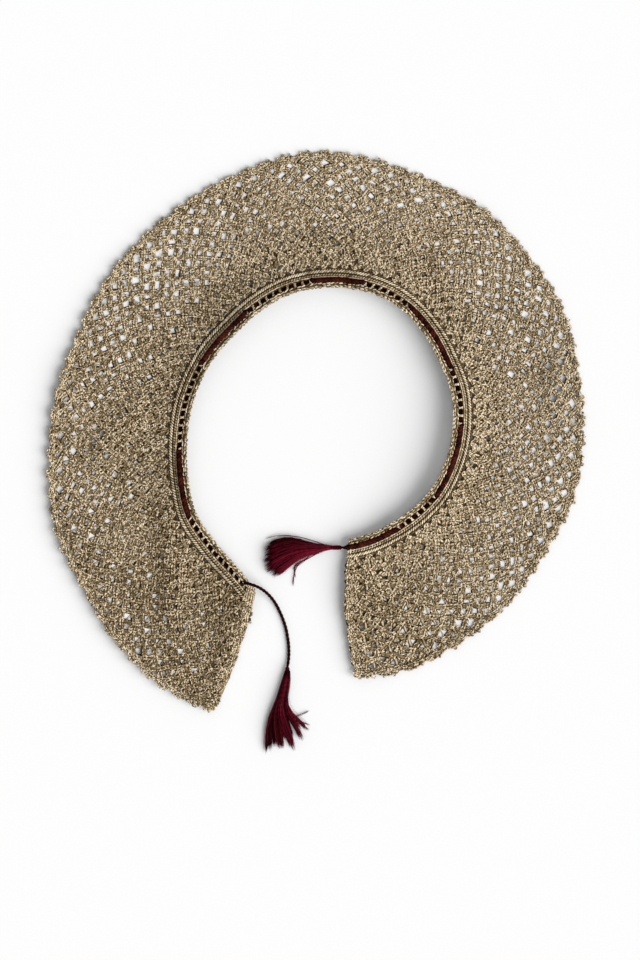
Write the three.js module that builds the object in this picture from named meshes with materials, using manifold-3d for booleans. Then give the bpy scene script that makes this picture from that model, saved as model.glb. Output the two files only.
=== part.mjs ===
// Crochet collar laid flat on a table: a ring of net worked from the neck outwards, open at the front,
// with a beading row that a twisted drawstring is threaded through and a tassel on each end of it.
// Millimetres, +Z up. The front opening faces -Y. Angles called turn are degrees clockwise from the front,
// seen from above, about the neck's centre. Lengths called across run from the neck edge to the hem.
import * as THREE from "three";
import { mergeVertices } from "three/addons/utils/BufferGeometryUtils.js";
import Module from "manifold-3d";

const wasm = await Module();
wasm.setup();

// Driving dimensions of the crochet.
const SEAM_GAP = 0.3;
const NET_WALL = 1.5;
const KNOT_RELIEF = 0.45;
const MESH_RELIEF = -0.3;
const NET_ROWS = 16;
const NET_LOOPS = 78;
const ROW_GROWTH = 1.12;
const BAND_WIDTH = 10;
const EYELETS = 104;
const EYELET_SHARE = 0.55;
const RIM_SCALLOP = 0.4;
const EDGING_WIDTH = 4;
const EDGING_WALL = 1.6;
const EDGING_RIDGE = 2.1;
const SCALLOPS = 78;
const SCALLOP_DEPTH = 1.5;
const SCALLOP_UNEVEN = [{ size: 0.35, rate: 2.4 }, { size: 0.25, rate: 5.3 }];
const ROLL_WIDTH = 34;
const HEM_ZONE = 16;

// Driving dimensions of the drawstring and its tassels.
const CORD_RADIUS = 0.95;
const CORD_SIDES = 8;
const CORD_CLEARANCE = 0.5;
const CORD_ACROSS = 4.3;
const PASS_LENGTH = 7.2;
const RUN_STEP = 9.5;
const PLUMB_ONSET = 4;
const STRAND_LAYERS = 3;
const STRANDS_PER_LAYER = 9;
const TABLE_CLEARANCE = 0.15;

// Sections of the collar, from the left front end round the back of the neck to the right front end.
// neck, hem: how far the two edges lie from the neck's centre. lean: degrees by which the hem runs ahead of
// the neck edge. belly: how far the middle bows the same way. rise, lift: heights of the underside at the
// neck edge and at the hem.
const SECTIONS = [
  { turn: 21.3, neck: 99.2, hem: 170.5, lean: -1.0, belly: -2.4, rise: 4.3, lift: 2.0 },
  { turn: 30, neck: 92.4, hem: 171.0, lean: -0.6, belly: -1.2, rise: 4.4, lift: 3.0 },
  { turn: 42, neck: 88.0, hem: 166.8, lean: 0, belly: 0, rise: 4.7, lift: 3.9 },
  { turn: 55, neck: 85.0, hem: 161.0, lean: 0, belly: 0, rise: 5.1, lift: 3.8 },
  { turn: 68, neck: 79.2, hem: 158.8, lean: 0, belly: 0, rise: 5.7, lift: 3.2 },
  { turn: 82, neck: 74.6, hem: 152.4, lean: 0, belly: 0, rise: 6.3, lift: 2.9 },
  { turn: 95, neck: 71.9, hem: 148.0, lean: 0, belly: 0, rise: 7.0, lift: 3.5 },
  { turn: 108, neck: 69.9, hem: 143.7, lean: 0, belly: 0, rise: 7.8, lift: 2.9 },
  { turn: 122, neck: 68.3, hem: 142.8, lean: 0, belly: 0, rise: 8.4, lift: 1.8 },
  { turn: 136, neck: 67.4, hem: 142.2, lean: 0, belly: 0, rise: 8.8, lift: 1.2 },
  { turn: 150, neck: 69.0, hem: 143.0, lean: 0, belly: 0, rise: 9.0, lift: 1.0 },
  { turn: 164, neck: 71.4, hem: 145.7, lean: 0, belly: 0, rise: 9.0, lift: 0.6 },
  { turn: 178, neck: 73.0, hem: 149.2, lean: 0, belly: 0, rise: 9.1, lift: 0 },
  { turn: 191, neck: 74.3, hem: 147.8, lean: 0, belly: 0, rise: 9.4, lift: 0.6 },
  { turn: 205, neck: 75.4, hem: 146.4, lean: 0, belly: 0, rise: 10.0, lift: 0 },
  { turn: 218, neck: 74.8, hem: 147.8, lean: 0, belly: 0, rise: 10.8, lift: 1.2 },
  { turn: 232, neck: 73.2, hem: 146.5, lean: 0, belly: 0, rise: 11.6, lift: 0 },
  { turn: 245, neck: 71.9, hem: 147.3, lean: 0, belly: 0, rise: 12.4, lift: 0.5 },
  { turn: 258, neck: 72.3, hem: 144.8, lean: 0, belly: 0, rise: 13.0, lift: 0 },
  { turn: 272, neck: 71.5, hem: 144.8, lean: 0, belly: 0, rise: 13.0, lift: 0.8 },
  { turn: 286, neck: 70.8, hem: 145.6, lean: 0, belly: 0, rise: 12.4, lift: 0 },
  { turn: 300, neck: 70.2, hem: 143.2, lean: 0, belly: 0, rise: 11.0, lift: 0.6 },
  { turn: 314, neck: 68.6, hem: 144.0, lean: 0, belly: 0, rise: 9.4, lift: 0 },
  { turn: 327, neck: 67.0, hem: 144.2, lean: 1.4, belly: 0, rise: 7.8, lift: 0.8 },
  { turn: 338, neck: 66.6, hem: 145.2, lean: 3.6, belly: 2.0, rise: 6.2, lift: 0 },
  { turn: 347.3, neck: 66.0, hem: 142.0, lean: 6.1, belly: 4.3, rise: 4.9, lift: 0.4 },
];

// The right front end curls up along its edge. height: at the edge itself, at distances across.
const FRONT_CURL = [
  { across: 0, height: 0 },
  { across: 8, height: 0.9 },
  { across: 17, height: 4.2 },
  { across: 28, height: 5.6 },
  { across: 40, height: 4.8 },
  { across: 52, height: 4.0 },
  { across: 64, height: 3.5 },
  { across: 80, height: 3.3 },
];
const CURL_START = 331;

// The largest folds, each a soft ridge along a line, highest in its middle.
const FOLDS = [
  { fromTurn: 64, fromAcross: 14, toTurn: 33, toAcross: 56, height: 3.0, halfWidth: 12 },
  { fromTurn: 24.5, fromAcross: 6, toTurn: 23.5, toAcross: 60, height: 2.6, halfWidth: 10 },
  { fromTurn: 104, fromAcross: 20, toTurn: 78, toAcross: 62, height: 2.2, halfWidth: 13 },
  { fromTurn: 148, fromAcross: 44, toTurn: 192, toAcross: 26, height: 2.0, halfWidth: 12 },
  { fromTurn: 199, fromAcross: 48, toTurn: 216, toAcross: 12, height: 1.8, halfWidth: 12 },
  { fromTurn: 252, fromAcross: 66, toTurn: 274, toAcross: 54, height: 2.0, halfWidth: 11 },
];

// Neckband, from the neck edge outwards. outer: height of the outer face over the plain inner face.
const BAND_PROFILE = [
  { across: 0, outer: 1.3 },
  { across: 1.5, outer: 2.0 },
  { across: 3.0, outer: 1.2 },
  { across: 5.6, outer: 1.2 },
  { across: 6.7, outer: 2.3 },
  { across: 7.8, outer: 1.3 },
  { across: 8.8, outer: 2.2 },
  { across: BAND_WIDTH - SEAM_GAP / 2, outer: 1.4 },
];
const BEADING_BAND = 2;
const BEADING_START = BAND_PROFILE[BEADING_BAND].across;
const BEADING_END = BAND_PROFILE[BEADING_BAND + 1].across;
const BEADING_WALL = BAND_PROFILE[BEADING_BAND].outer;
const CORD_AWAY = BEADING_WALL / 2 + CORD_CLEARANCE + CORD_RADIUS;

// Where the drawstring goes through the beading row, and on which side of it the next stretch lies.
const WEAVE = [
  { turn: 26.2, next: "under" },
  { turn: 54.8, next: "over" },
  { turn: 79, next: "under" },
  { turn: 113.4, next: "over" },
  { turn: 144.6, next: "under" },
  { turn: 175.1, next: "over" },
  { turn: 197.7, next: "under" },
  { turn: 217.6, next: "over" },
  { turn: 249.2, next: "under" },
  { turn: 271.2, next: "over" },
  { turn: 304.5, next: "under" },
  { turn: 324.5, next: "over" },
];

// The free end on the left, from the tassel up on to the neckband's rim. Its points are chosen by hand.
const LEFT_FREE_END = [
  [-19.0, -134.5, 1.6],
  [-18.4, -130.6, 1.2],
  [-18.2, -126.3, 1.0],
  [-18.4, -122.0, 1.0],
  [-19.0, -117.7, 1.0],
  [-19.9, -113.2, 1.0],
  [-21.4, -108.6, 1.0],
  [-23.4, -103.9, 1.1],
  [-25.8, -99.4, 1.6],
  [-28.9, -95.4, 3.0],
  [-32.5, -92.2, 5.2],
  [-36.4, -90.0, 7.2],
  [-40.3, -88.7, 7.5],
];
const RIGHT_FREE_END = [
  [13.2, -68.9, 5.9],
  [11.15, -68.95, 4.4],
];

// Tassels. head: the start and end of the bound head. tips: the two corners of the cut ends.
const TASSELS = {
  tassel_left: {
    head: [[-19.1, -135.0, 1.75], [-18.7, -140.0, 2.0]],
    tips: [[-31.3, -180.5], [-13.8, -176.5]],
    bulge: -1.2,
  },
  tassel_right: {
    head: [[10.6, -68.95, 4.2], [5.0, -69.1, 2.6]],
    tips: [[-31.2, -65.0], [-27.6, -85.0]],
    bulge: 1.5,
  },
};
// Rings of a tassel's bound head and the root of its skirt. along: share of the whole tassel's length.
const TASSEL_RINGS = [
  { along: 0, wide: 0.9, high: 0.9 },
  { along: 0.04, wide: 1.6, high: 1.6 },
  { along: 0.1, wide: 1.7, high: 1.7 },
  { along: 0.13, wide: 1.35, high: 1.35 },
  { along: 0.2, wide: 2.4, high: 1.9 },
  { along: 0.34, wide: 3.8, high: 2.0 },
];
const TASSEL_SIDES = 10;
const LAYER_SPREAD = 0.62;
const ROOT_FILL = 0.84;
const FIRST_STRAND = 0.25;
const STRAND_BEND = 0.45;
const STRAND_ARCH = 0.9;
const STRAND_ROOT_RADIUS = 0.32;
const STRAND_TIP_RADIUS = 0.62;
const STRAND_STEPS = 3;
const STRAND_REACH = 1.2;
const STRAND_LOWEST = 0.8;
const STRAND_LAYER_RISE = 1.3;
const STRAND_UNEVEN = 1.6;
const STRAND_UNEVEN_RATE = 2.1;

const ECRU = new THREE.MeshStandardMaterial({ color: 0x998466, roughness: 0.85, metalness: 0 });
const BURGUNDY = new THREE.MeshStandardMaterial({ color: 0x4a0a1c, roughness: 0.55, metalness: 0 });

const radians = THREE.MathUtils.degToRad;
const lerp = THREE.MathUtils.lerp;

// Reads one column of a table at any value of its key column, on a smooth curve through its rows.
function readTable(table, key, column, at) {
  const last = table.length - 1;
  let i = 0;
  while (i < last - 1 && table[i + 1][key] < at) {
    i += 1;
  }
  const slopeAt = (row) => {
    const before = table[Math.max(row - 1, 0)];
    const after = table[Math.min(row + 1, last)];
    return (after[column] - before[column]) / (after[key] - before[key]);
  };
  const from = table[i];
  const to = table[i + 1];
  const span = to[key] - from[key];
  const t = (at - from[key]) / span;
  const t2 = t * t;
  const t3 = t2 * t;
  return (2 * t3 - 3 * t2 + 1) * from[column] + (t3 - 2 * t2 + t) * span * slopeAt(i)
    + (3 * t2 - 2 * t3) * to[column] + (t3 - t2) * span * slopeAt(i + 1);
}

function section(column, turn) {
  return readTable(SECTIONS, "turn", column, turn);
}

// A point on the ground at a turn and a distance from the neck's centre.
function onGround(turn, radius) {
  return new THREE.Vector2(-Math.sin(radians(turn)) * radius, -Math.cos(radians(turn)) * radius);
}

// Plan position of the fabric at a turn of the neck edge and a distance across from it.
function plan(turn, across) {
  const neck = onGround(turn, section("neck", turn));
  const hem = onGround(turn + section("lean", turn), section("hem", turn));
  const line = hem.clone().sub(neck);
  const depth = line.length();
  const share = across / depth;
  const sideways = onGround(turn + 90, section("belly", turn) * Math.sin(Math.PI * share));
  return { point: neck.addScaledVector(line, share).add(sideways), depth };
}

const foldLines = FOLDS.map((fold) => ({
  ...fold,
  start: plan(fold.fromTurn, fold.fromAcross).point,
  end: plan(fold.toTurn, fold.toAcross).point,
}));

// Height of the folds' ridges over the ground.
function foldHeight(point) {
  let height = 0;
  for (const fold of foldLines) {
    const line = fold.end.clone().sub(fold.start);
    const share = THREE.MathUtils.clamp(point.clone().sub(fold.start).dot(line) / line.lengthSq(), 0, 1);
    const distance = fold.start.clone().addScaledVector(line, share).distanceTo(point);
    if (distance < fold.halfWidth) {
      const across = Math.cos(Math.PI / 2 * distance / fold.halfWidth) ** 2;
      height += fold.height * Math.sin(Math.PI * share) * across;
    }
  }
  return height;
}

// The underside of the fabric: raised at the neck, flat on the table, lightly lifted at the hem.
function underside(turn, across) {
  const { point, depth } = plan(turn, across);
  const roll = Math.max(0, 1 - across / ROLL_WIDTH);
  const turnUp = Math.max(0, (across - depth + HEM_ZONE) / HEM_ZONE);
  const curl = Math.max(0, (turn - CURL_START) / (SECTIONS[SECTIONS.length - 1].turn - CURL_START));
  const height = section("rise", turn) * roll * roll
    + Math.max(0, section("lift", turn)) * turnUp * turnUp
    + Math.max(0, readTable(FRONT_CURL, "across", "height", across)) * curl * curl;
  return new THREE.Vector3(point.x, point.y, height + foldHeight(point));
}

// A point over the underside, along the fabric's own normal.
function skin(turn, across, height) {
  const reach = 0.4;
  const alongNeck = underside(turn + reach, across).sub(underside(turn - reach, across));
  const outwards = underside(turn, across + reach).sub(underside(turn, across - reach));
  const normal = alongNeck.cross(outwards).normalize();
  return underside(turn, across).addScaledVector(normal, height);
}

// The neckline's length, and the turn at any share of it, so stitches are evenly spaced along it.
const NECKLINE_SAMPLES = 400;
const firstTurn = SECTIONS[0].turn;
const lastTurn = SECTIONS[SECTIONS.length - 1].turn;
const neckline = [{ turn: firstTurn, length: 0 }];
for (let i = 1; i <= NECKLINE_SAMPLES; i += 1) {
  const turn = lerp(firstTurn, lastTurn, i / NECKLINE_SAMPLES);
  const before = neckline[i - 1];
  const step = plan(turn, CORD_ACROSS).point.distanceTo(plan(before.turn, CORD_ACROSS).point);
  neckline.push({ turn, length: before.length + step });
}
const necklineLength = neckline[NECKLINE_SAMPLES].length;

function turnAt(share) {
  const length = share * necklineLength;
  let i = 1;
  while (i < NECKLINE_SAMPLES && neckline[i].length < length) {
    i += 1;
  }
  const before = neckline[i - 1];
  const after = neckline[i];
  return lerp(before.turn, after.turn, (length - before.length) / (after.length - before.length));
}

function shareAt(turn) {
  let i = 1;
  while (i < NECKLINE_SAMPLES && neckline[i].turn < turn) {
    i += 1;
  }
  const before = neckline[i - 1];
  const after = neckline[i];
  const part = (turn - before.turn) / (after.turn - before.turn);
  return lerp(before.length, after.length, part) / necklineLength;
}

// Collects the vertices and faces of one closed solid.
class SolidBuilder {
  positions = [];
  faces = [];

  add(point) {
    this.positions.push(point.x, point.y, point.z);
    return this.positions.length / 3 - 1;
  }

  addGrid(rows) {
    return rows.map((row) => row.map((point) => this.add(point)));
  }

  face(a, b, c) {
    this.faces.push(a, b, c);
  }

  geometry() {
    const geometry = new THREE.BufferGeometry();
    geometry.setAttribute("position", new THREE.Float32BufferAttribute(this.positions, 3));
    geometry.setIndex(this.faces);
    geometry.computeVertexNormals();
    return geometry;
  }
}

// Joins two edges that run the same way but may have different numbers of points.
function zip(builder, upper, lower) {
  let i = 0;
  let j = 0;
  while (i < upper.length - 1 || j < lower.length - 1) {
    const nextUpper = (i + 1) / (upper.length - 1);
    const nextLower = (j + 1) / (lower.length - 1);
    if (j === lower.length - 1 || (i < upper.length - 1 && nextUpper <= nextLower)) {
      builder.face(upper[i + 1], upper[i], lower[j]);
      i += 1;
    } else {
      builder.face(lower[j], lower[j + 1], upper[i]);
      j += 1;
    }
  }
}

// The outer edge of a grid, as four sides that follow each other round it.
function sides(grid) {
  const last = grid.length - 1;
  const end = grid[0].length - 1;
  return [
    grid[0],
    grid.map((row) => row[end]),
    [...grid[last]].reverse(),
    grid.map((row) => row[0]).reverse(),
  ];
}

// Closes an outer grid of points over an inner one. forward says how each outer cell is split, and holes
// leaves open the cells of one row in both grids.
function clothWall({ outer, inner, forward = () => true, holes = null }) {
  const builder = new SolidBuilder();
  const upper = builder.addGrid(outer);
  const lower = builder.addGrid(inner);
  const isHole = (row, column, holeRow) => holes !== null && row === holeRow && holes.isOpen(column);
  for (let r = 0; r < upper.length - 1; r += 1) {
    for (let c = 0; c < upper[r].length - 1; c += 1) {
      const [a, b] = [upper[r][c], upper[r][c + 1]];
      const [d, e] = [upper[r + 1][c], upper[r + 1][c + 1]];
      if (isHole(r, c, holes?.outerRow)) {
        continue;
      }
      if (forward(r, c)) {
        builder.face(a, b, e);
        builder.face(a, e, d);
      } else {
        builder.face(a, b, d);
        builder.face(b, e, d);
      }
    }
  }
  for (let r = 0; r < lower.length - 1; r += 1) {
    for (let c = 0; c < lower[r].length - 1; c += 1) {
      if (isHole(r, c, holes?.innerRow)) {
        continue;
      }
      builder.face(lower[r][c], lower[r + 1][c + 1], lower[r][c + 1]);
      builder.face(lower[r][c], lower[r + 1][c], lower[r + 1][c + 1]);
    }
  }
  const lowerSides = sides(lower);
  sides(upper).forEach((side, i) => zip(builder, side, lowerSides[i]));
  if (holes !== null) {
    const columns = upper[0].length - 1;
    for (let c = 0; c < columns; c += 1) {
      if (!holes.isOpen(c)) {
        continue;
      }
      const top = [upper[holes.outerRow], upper[holes.outerRow + 1]];
      const under = [lower[holes.innerRow], lower[holes.innerRow + 1]];
      zip(builder, [top[0][c + 1], top[0][c]], [under[0][c + 1], under[0][c]]);
      zip(builder, [top[1][c], top[1][c + 1]], [under[1][c], under[1][c + 1]]);
      if (!holes.isOpen(c + 1)) {
        zip(builder, [top[1][c + 1], top[0][c + 1]], [under[1][c + 1], under[0][c + 1]]);
      }
      if (!holes.isOpen(c - 1)) {
        zip(builder, [top[0][c], top[1][c]], [under[0][c], under[1][c]]);
      }
    }
  }
  return builder.geometry();
}

// Rings joined one after the other, closed at both ends.
function loft(rings) {
  const builder = new SolidBuilder();
  const grid = builder.addGrid(rings);
  const count = rings[0].length;
  for (let r = 0; r < grid.length - 1; r += 1) {
    for (let i = 0; i < count; i += 1) {
      const j = (i + 1) % count;
      builder.face(grid[r][i], grid[r][j], grid[r + 1][j]);
      builder.face(grid[r][i], grid[r + 1][j], grid[r + 1][i]);
    }
  }
  const last = grid[grid.length - 1];
  for (let i = 1; i < count - 1; i += 1) {
    builder.face(grid[0][0], grid[0][i + 1], grid[0][i]);
    builder.face(last[0], last[i], last[i + 1]);
  }
  return builder.geometry();
}

function toManifold(geometry) {
  const bare = geometry.clone();
  bare.deleteAttribute("normal");
  const merged = mergeVertices(bare);
  return new wasm.Manifold(new wasm.Mesh({
    numProp: 3,
    vertProperties: merged.attributes.position.array,
    triVerts: new Uint32Array(merged.index.array),
  }));
}

function fromManifold(solid) {
  const mesh = solid.getMesh();
  const geometry = new THREE.BufferGeometry();
  geometry.setAttribute("position", new THREE.Float32BufferAttribute(mesh.vertProperties, 3));
  geometry.setIndex([...mesh.triVerts]);
  geometry.computeVertexNormals();
  return geometry;
}

// Each place where the drawstring goes through opens two neighbouring eyelets and the bar between them.
const passes = WEAVE.map(({ turn, next }) => {
  const firstEyelet = Math.round(shareAt(turn) * EYELETS) - 1;
  return { firstEyelet, centre: (firstEyelet + 1) / EYELETS, next };
});

// The neckband: a scalloped rim, the beading row of eyelets, and two raised ribs.
function neckband() {
  const shares = [0];
  for (let i = 0; i < EYELETS; i += 1) {
    shares.push((i + 0.5 - EYELET_SHARE / 2) / EYELETS);
    shares.push((i + 0.5 + EYELET_SHARE / 2) / EYELETS);
  }
  shares.push(1);
  const turns = shares.map(turnAt);
  const setBack = (across, column) => (across === 0 && column % 2 === 0 ? RIM_SCALLOP : 0);
  const row = (across, height) => turns.map((turn, i) => skin(turn, across + setBack(across, i), height));
  const openBars = new Set(passes.map(({ firstEyelet }) => 2 * firstEyelet + 2));
  return clothWall({
    outer: BAND_PROFILE.map(({ across, outer }) => row(across, outer)),
    inner: [0, BEADING_START, BEADING_END, BAND_WIDTH - SEAM_GAP / 2].map((across) => row(across, 0)),
    holes: {
      outerRow: BEADING_BAND,
      innerRow: 1,
      isOpen: (column) => column % 2 === 1 || openBars.has(column),
    },
  });
}

// The net: diagonal yarns meet in raised knots, with the fabric lower in each mesh between them.
function net() {
  const INNER_ROWS = 6;
  const acrossAt = (turn, share) => {
    const start = BAND_WIDTH + SEAM_GAP / 2;
    const end = plan(turn, 0).depth - EDGING_WIDTH - SEAM_GAP / 2;
    return lerp(start, end, share ** ROW_GROWTH);
  };
  const grid = (rows, columns, height) => {
    const points = [];
    for (let r = 0; r <= rows; r += 1) {
      points.push([]);
      for (let c = 0; c <= columns; c += 1) {
        const turn = turnAt(c / columns);
        points[r].push(skin(turn, acrossAt(turn, r / rows), height(r, c)));
      }
    }
    return points;
  };
  const relief = (r, c) => NET_WALL + ((r + c) % 2 === 0 ? KNOT_RELIEF : MESH_RELIEF);
  return clothWall({
    outer: grid(NET_ROWS, 2 * NET_LOOPS, relief),
    inner: grid(INNER_ROWS, NET_LOOPS, () => 0),
    forward: (r, c) => (r + c) % 2 === 0,
  });
}

// The hem edging: a ridge of stitches with small scallops of uneven depth outside it.
function hemEdging() {
  const POINTS_PER_SCALLOP = 3;
  const columns = SCALLOPS * POINTS_PER_SCALLOP;
  const uneven = (scallop) => SCALLOP_UNEVEN.reduce(
    (sum, { size, rate }) => sum + size * Math.sin(scallop * rate),
    1,
  );
  const row = (share, height) => {
    const points = [];
    for (let c = 0; c <= columns; c += 1) {
      const turn = turnAt(c / columns);
      const depth = plan(turn, 0).depth;
      const valley = c % POINTS_PER_SCALLOP === 0 ? SCALLOP_DEPTH * uneven(c / POINTS_PER_SCALLOP) : 0;
      const start = depth - EDGING_WIDTH + SEAM_GAP / 2;
      const end = depth - valley * (share === 1 ? 1 : 0);
      points.push(skin(turn, lerp(start, end, share), height));
    }
    return points;
  };
  return clothWall({
    outer: [row(0, EDGING_WALL), row(0.5, EDGING_RIDGE), row(1, EDGING_WALL)],
    inner: [row(0, 0), row(1, 0)],
  });
}

// A cord bends only at the points of its route.
class CordRoute extends THREE.CatmullRomCurve3 {
  getPointAt(t, target) {
    return this.getPoint(t, target);
  }

  getTangentAt(t, target) {
    return this.getTangent(t, target);
  }
}

// A point of the woven drawstring. level: how far it lies over the middle of the wall. It goes straight
// through the wall, and along a run it lies plumb over or under the middle of the beading row.
function woven(length, level) {
  const turn = turnAt(length / necklineLength);
  const height = BEADING_WALL / 2 + level;
  const raised = skin(turn, CORD_ACROSS, height).sub(underside(turn, CORD_ACROSS));
  const drift = Math.hypot(raised.x, raised.y) * Math.sign(height);
  const settled = Math.abs(level / CORD_AWAY) ** PLUMB_ONSET;
  return skin(turn, CORD_ACROSS - drift * settled, height);
}

// The drawstring's route: the left free end, the woven stretches, and the short right free end.
function drawstringRoute() {
  const route = LEFT_FREE_END.map((point) => new THREE.Vector3(...point));
  let side = CORD_AWAY;
  passes.forEach(({ centre, next }, i) => {
    const middle = centre * necklineLength;
    const nextSide = next === "over" ? CORD_AWAY : -CORD_AWAY;
    for (const step of [-3, -1, 1, 3]) {
      const level = step < 0 ? side : nextSide;
      route.push(woven(middle + step * PASS_LENGTH / 6, Math.abs(step) === 1 ? level / 2 : level));
    }
    side = nextSide;
    const from = middle + PASS_LENGTH / 2;
    const isLast = i === passes.length - 1;
    const to = isLast ? necklineLength : passes[i + 1].centre * necklineLength - PASS_LENGTH / 2;
    const steps = Math.max(1, Math.round((to - from) / RUN_STEP));
    for (let s = 1; s < steps + (isLast ? 1 : 0); s += 1) {
      route.push(woven(lerp(from, to, s / steps), side));
    }
  });
  return route.concat(RIGHT_FREE_END.map((point) => new THREE.Vector3(...point)));
}

function drawstring() {
  const route = drawstringRoute();
  const outline = [];
  for (let i = 0; i < CORD_SIDES; i += 1) {
    const angle = 2 * Math.PI * i / CORD_SIDES;
    outline.push(new THREE.Vector2(Math.cos(angle) * CORD_RADIUS, Math.sin(angle) * CORD_RADIUS));
  }
  return new THREE.ExtrudeGeometry(new THREE.Shape(outline), {
    steps: route.length - 1,
    extrudePath: new CordRoute(route),
    bevelEnabled: false,
  });
}

// One ring of points round a centre, square to a level direction.
function ring(centre, direction, wide, high, count) {
  const sideways = new THREE.Vector3(-direction.y, direction.x, 0).normalize();
  const points = [];
  for (let i = 0; i < count; i += 1) {
    const angle = 2 * Math.PI * (i + 0.5) / count;
    const point = centre.clone().addScaledVector(sideways, Math.cos(angle) * wide);
    points.push(point.add(new THREE.Vector3(0, 0, Math.sin(angle) * high)));
  }
  return points;
}

// A tassel: a bound head that widens into the skirt's root, and strands that fan out from it.
function tassel({ head, tips, bulge }) {
  const start = new THREE.Vector3(...head[0]);
  const bound = new THREE.Vector3(...head[1]);
  const [firstTip, lastTip] = tips.map(([x, y]) => new THREE.Vector3(x, y, STRAND_LOWEST));
  const tipLine = lastTip.clone().sub(firstTip);
  const middle = firstTip.clone().addScaledVector(tipLine, 0.5).setZ(bound.z);
  const forward = middle.clone().sub(bound).setZ(0).normalize();
  const aside = new THREE.Vector3(-forward.y, forward.x, 0);
  const whole = start.distanceTo(bound) + bound.distanceTo(middle);
  const boundShare = start.distanceTo(bound) / whole;
  const headDirection = bound.clone().sub(start).setZ(0).normalize();
  const rings = TASSEL_RINGS.map(({ along, wide, high }) => {
    const inHead = along < boundShare;
    const centre = inHead
      ? start.clone().lerp(bound, along / boundShare)
      : bound.clone().addScaledVector(forward, (along - boundShare) * whole);
    centre.addScaledVector(aside, inHead ? 0 : bulge * (along - boundShare));
    centre.z = Math.max(centre.z, high + TABLE_CLEARANCE);
    return ring(centre, inHead ? headDirection : forward, wide, high, TASSEL_SIDES);
  });
  const root = TASSEL_RINGS[TASSEL_RINGS.length - 1];
  const rootCentre = new THREE.Vector3();
  rings[rings.length - 1].forEach((point) => rootCentre.add(point));
  rootCentre.divideScalar(TASSEL_SIDES).addScaledVector(forward, -STRAND_REACH);
  let solid = toManifold(loft(rings));
  for (let layer = 0; layer < STRAND_LAYERS; layer += 1) {
    for (let i = 0; i < STRANDS_PER_LAYER; i += 1) {
      const number = layer * STRANDS_PER_LAYER + i;
      const stagger = layer === 1 ? 0.5 : 0;
      const share = (i + FIRST_STRAND + stagger) / STRANDS_PER_LAYER;
      const level = (layer - (STRAND_LAYERS - 1) / 2) * LAYER_SPREAD * root.high;
      const width = root.wide * ROOT_FILL * Math.sqrt(1 - (level / root.high) ** 2);
      const from = rootCentre.clone().addScaledVector(aside, (0.5 - share) * 2 * width);
      from.z += level;
      const to = firstTip.clone().addScaledVector(tipLine, 1 - share);
      to.addScaledVector(forward, STRAND_UNEVEN * Math.sin(number * STRAND_UNEVEN_RATE));
      to.z += layer * STRAND_LAYER_RISE;
      const control = from.clone().lerp(to, STRAND_BEND);
      control.z = Math.max(from.z, to.z) * STRAND_ARCH;
      const path = new THREE.QuadraticBezierCurve3(from, control, to);
      const strandRings = path.getPoints(STRAND_STEPS).map((point, step) => {
        const radius = lerp(STRAND_ROOT_RADIUS, STRAND_TIP_RADIUS, step / STRAND_STEPS);
        return ring(point, path.getTangent(step / STRAND_STEPS), radius, radius, 3);
      });
      solid = solid.add(toManifold(loft(strandRings)));
    }
  }
  return fromManifold(solid);
}

const collar = new THREE.Group();

function addPiece(name, geometry, material) {
  const mesh = new THREE.Mesh(geometry, material);
  mesh.name = name;
  collar.add(mesh);
  return mesh;
}

const crochet = [
  addPiece("neckband", neckband(), ECRU),
  addPiece("net", net(), ECRU),
  addPiece("hem_edging", hemEdging(), ECRU),
];
addPiece("drawstring", drawstring(), BURGUNDY);
for (const [name, shape] of Object.entries(TASSELS)) {
  addPiece(name, tassel(shape), BURGUNDY);
}

// The origin is the middle of the crochet's base.
const bounds = new THREE.Box3();
crochet.forEach((mesh) => bounds.expandByObject(mesh));
const middle = bounds.getCenter(new THREE.Vector3());
collar.position.set(-middle.x, -middle.y, -bounds.min.z);

export default collar;
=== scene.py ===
"""Crochet collar laid flat, dressed as real yarn, with its threaded drawstring and two silk tassels.

Lengths in the classes are millimetres about the neck's centre, as in the part's own source, and become
metres in the part's frame when a mesh is made. Turn is degrees clockwise from the front, seen from above.
Share runs along the neckline from the left front end to the right one, from 0 to 1. Across runs from the
neck edge to the hem.
"""
import sys
import logging
import math
from dataclasses import dataclass, field
from enum import Enum

import bpy
import numpy as np
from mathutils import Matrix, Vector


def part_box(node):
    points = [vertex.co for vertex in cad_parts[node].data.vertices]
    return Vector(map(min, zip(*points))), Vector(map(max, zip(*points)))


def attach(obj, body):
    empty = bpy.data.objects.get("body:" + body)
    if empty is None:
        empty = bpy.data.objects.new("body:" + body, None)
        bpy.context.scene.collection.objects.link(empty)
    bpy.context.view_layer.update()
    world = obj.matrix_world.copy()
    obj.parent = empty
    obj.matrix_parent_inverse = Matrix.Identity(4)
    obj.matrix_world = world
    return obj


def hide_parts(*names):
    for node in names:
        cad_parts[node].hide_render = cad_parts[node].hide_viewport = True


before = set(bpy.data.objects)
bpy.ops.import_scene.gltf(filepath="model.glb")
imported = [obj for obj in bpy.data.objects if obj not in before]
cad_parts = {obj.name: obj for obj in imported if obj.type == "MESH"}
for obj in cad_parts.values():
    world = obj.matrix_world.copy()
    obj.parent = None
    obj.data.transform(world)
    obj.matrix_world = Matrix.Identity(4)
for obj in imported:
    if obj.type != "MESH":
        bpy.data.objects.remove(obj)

log = logging.getLogger("collar")

MM = 0.001
BODY = "root"
PHOTO_WIDTH = 640
PHOTO_HEIGHT = 960
MM_PER_PIXEL = 0.55
NECK_PIXEL = (322, 422)
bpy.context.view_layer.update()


class Side(Enum):
    """Which side of the beading row a stretch of the drawstring lies on."""

    OVER = 1
    UNDER = -1


class Sector(Enum):
    """A quarter of the net, from the left front end round to the right one."""

    LEFT_FRONT = 0
    LEFT_BACK = 1
    RIGHT_BACK = 2
    RIGHT_FRONT = 3


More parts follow.
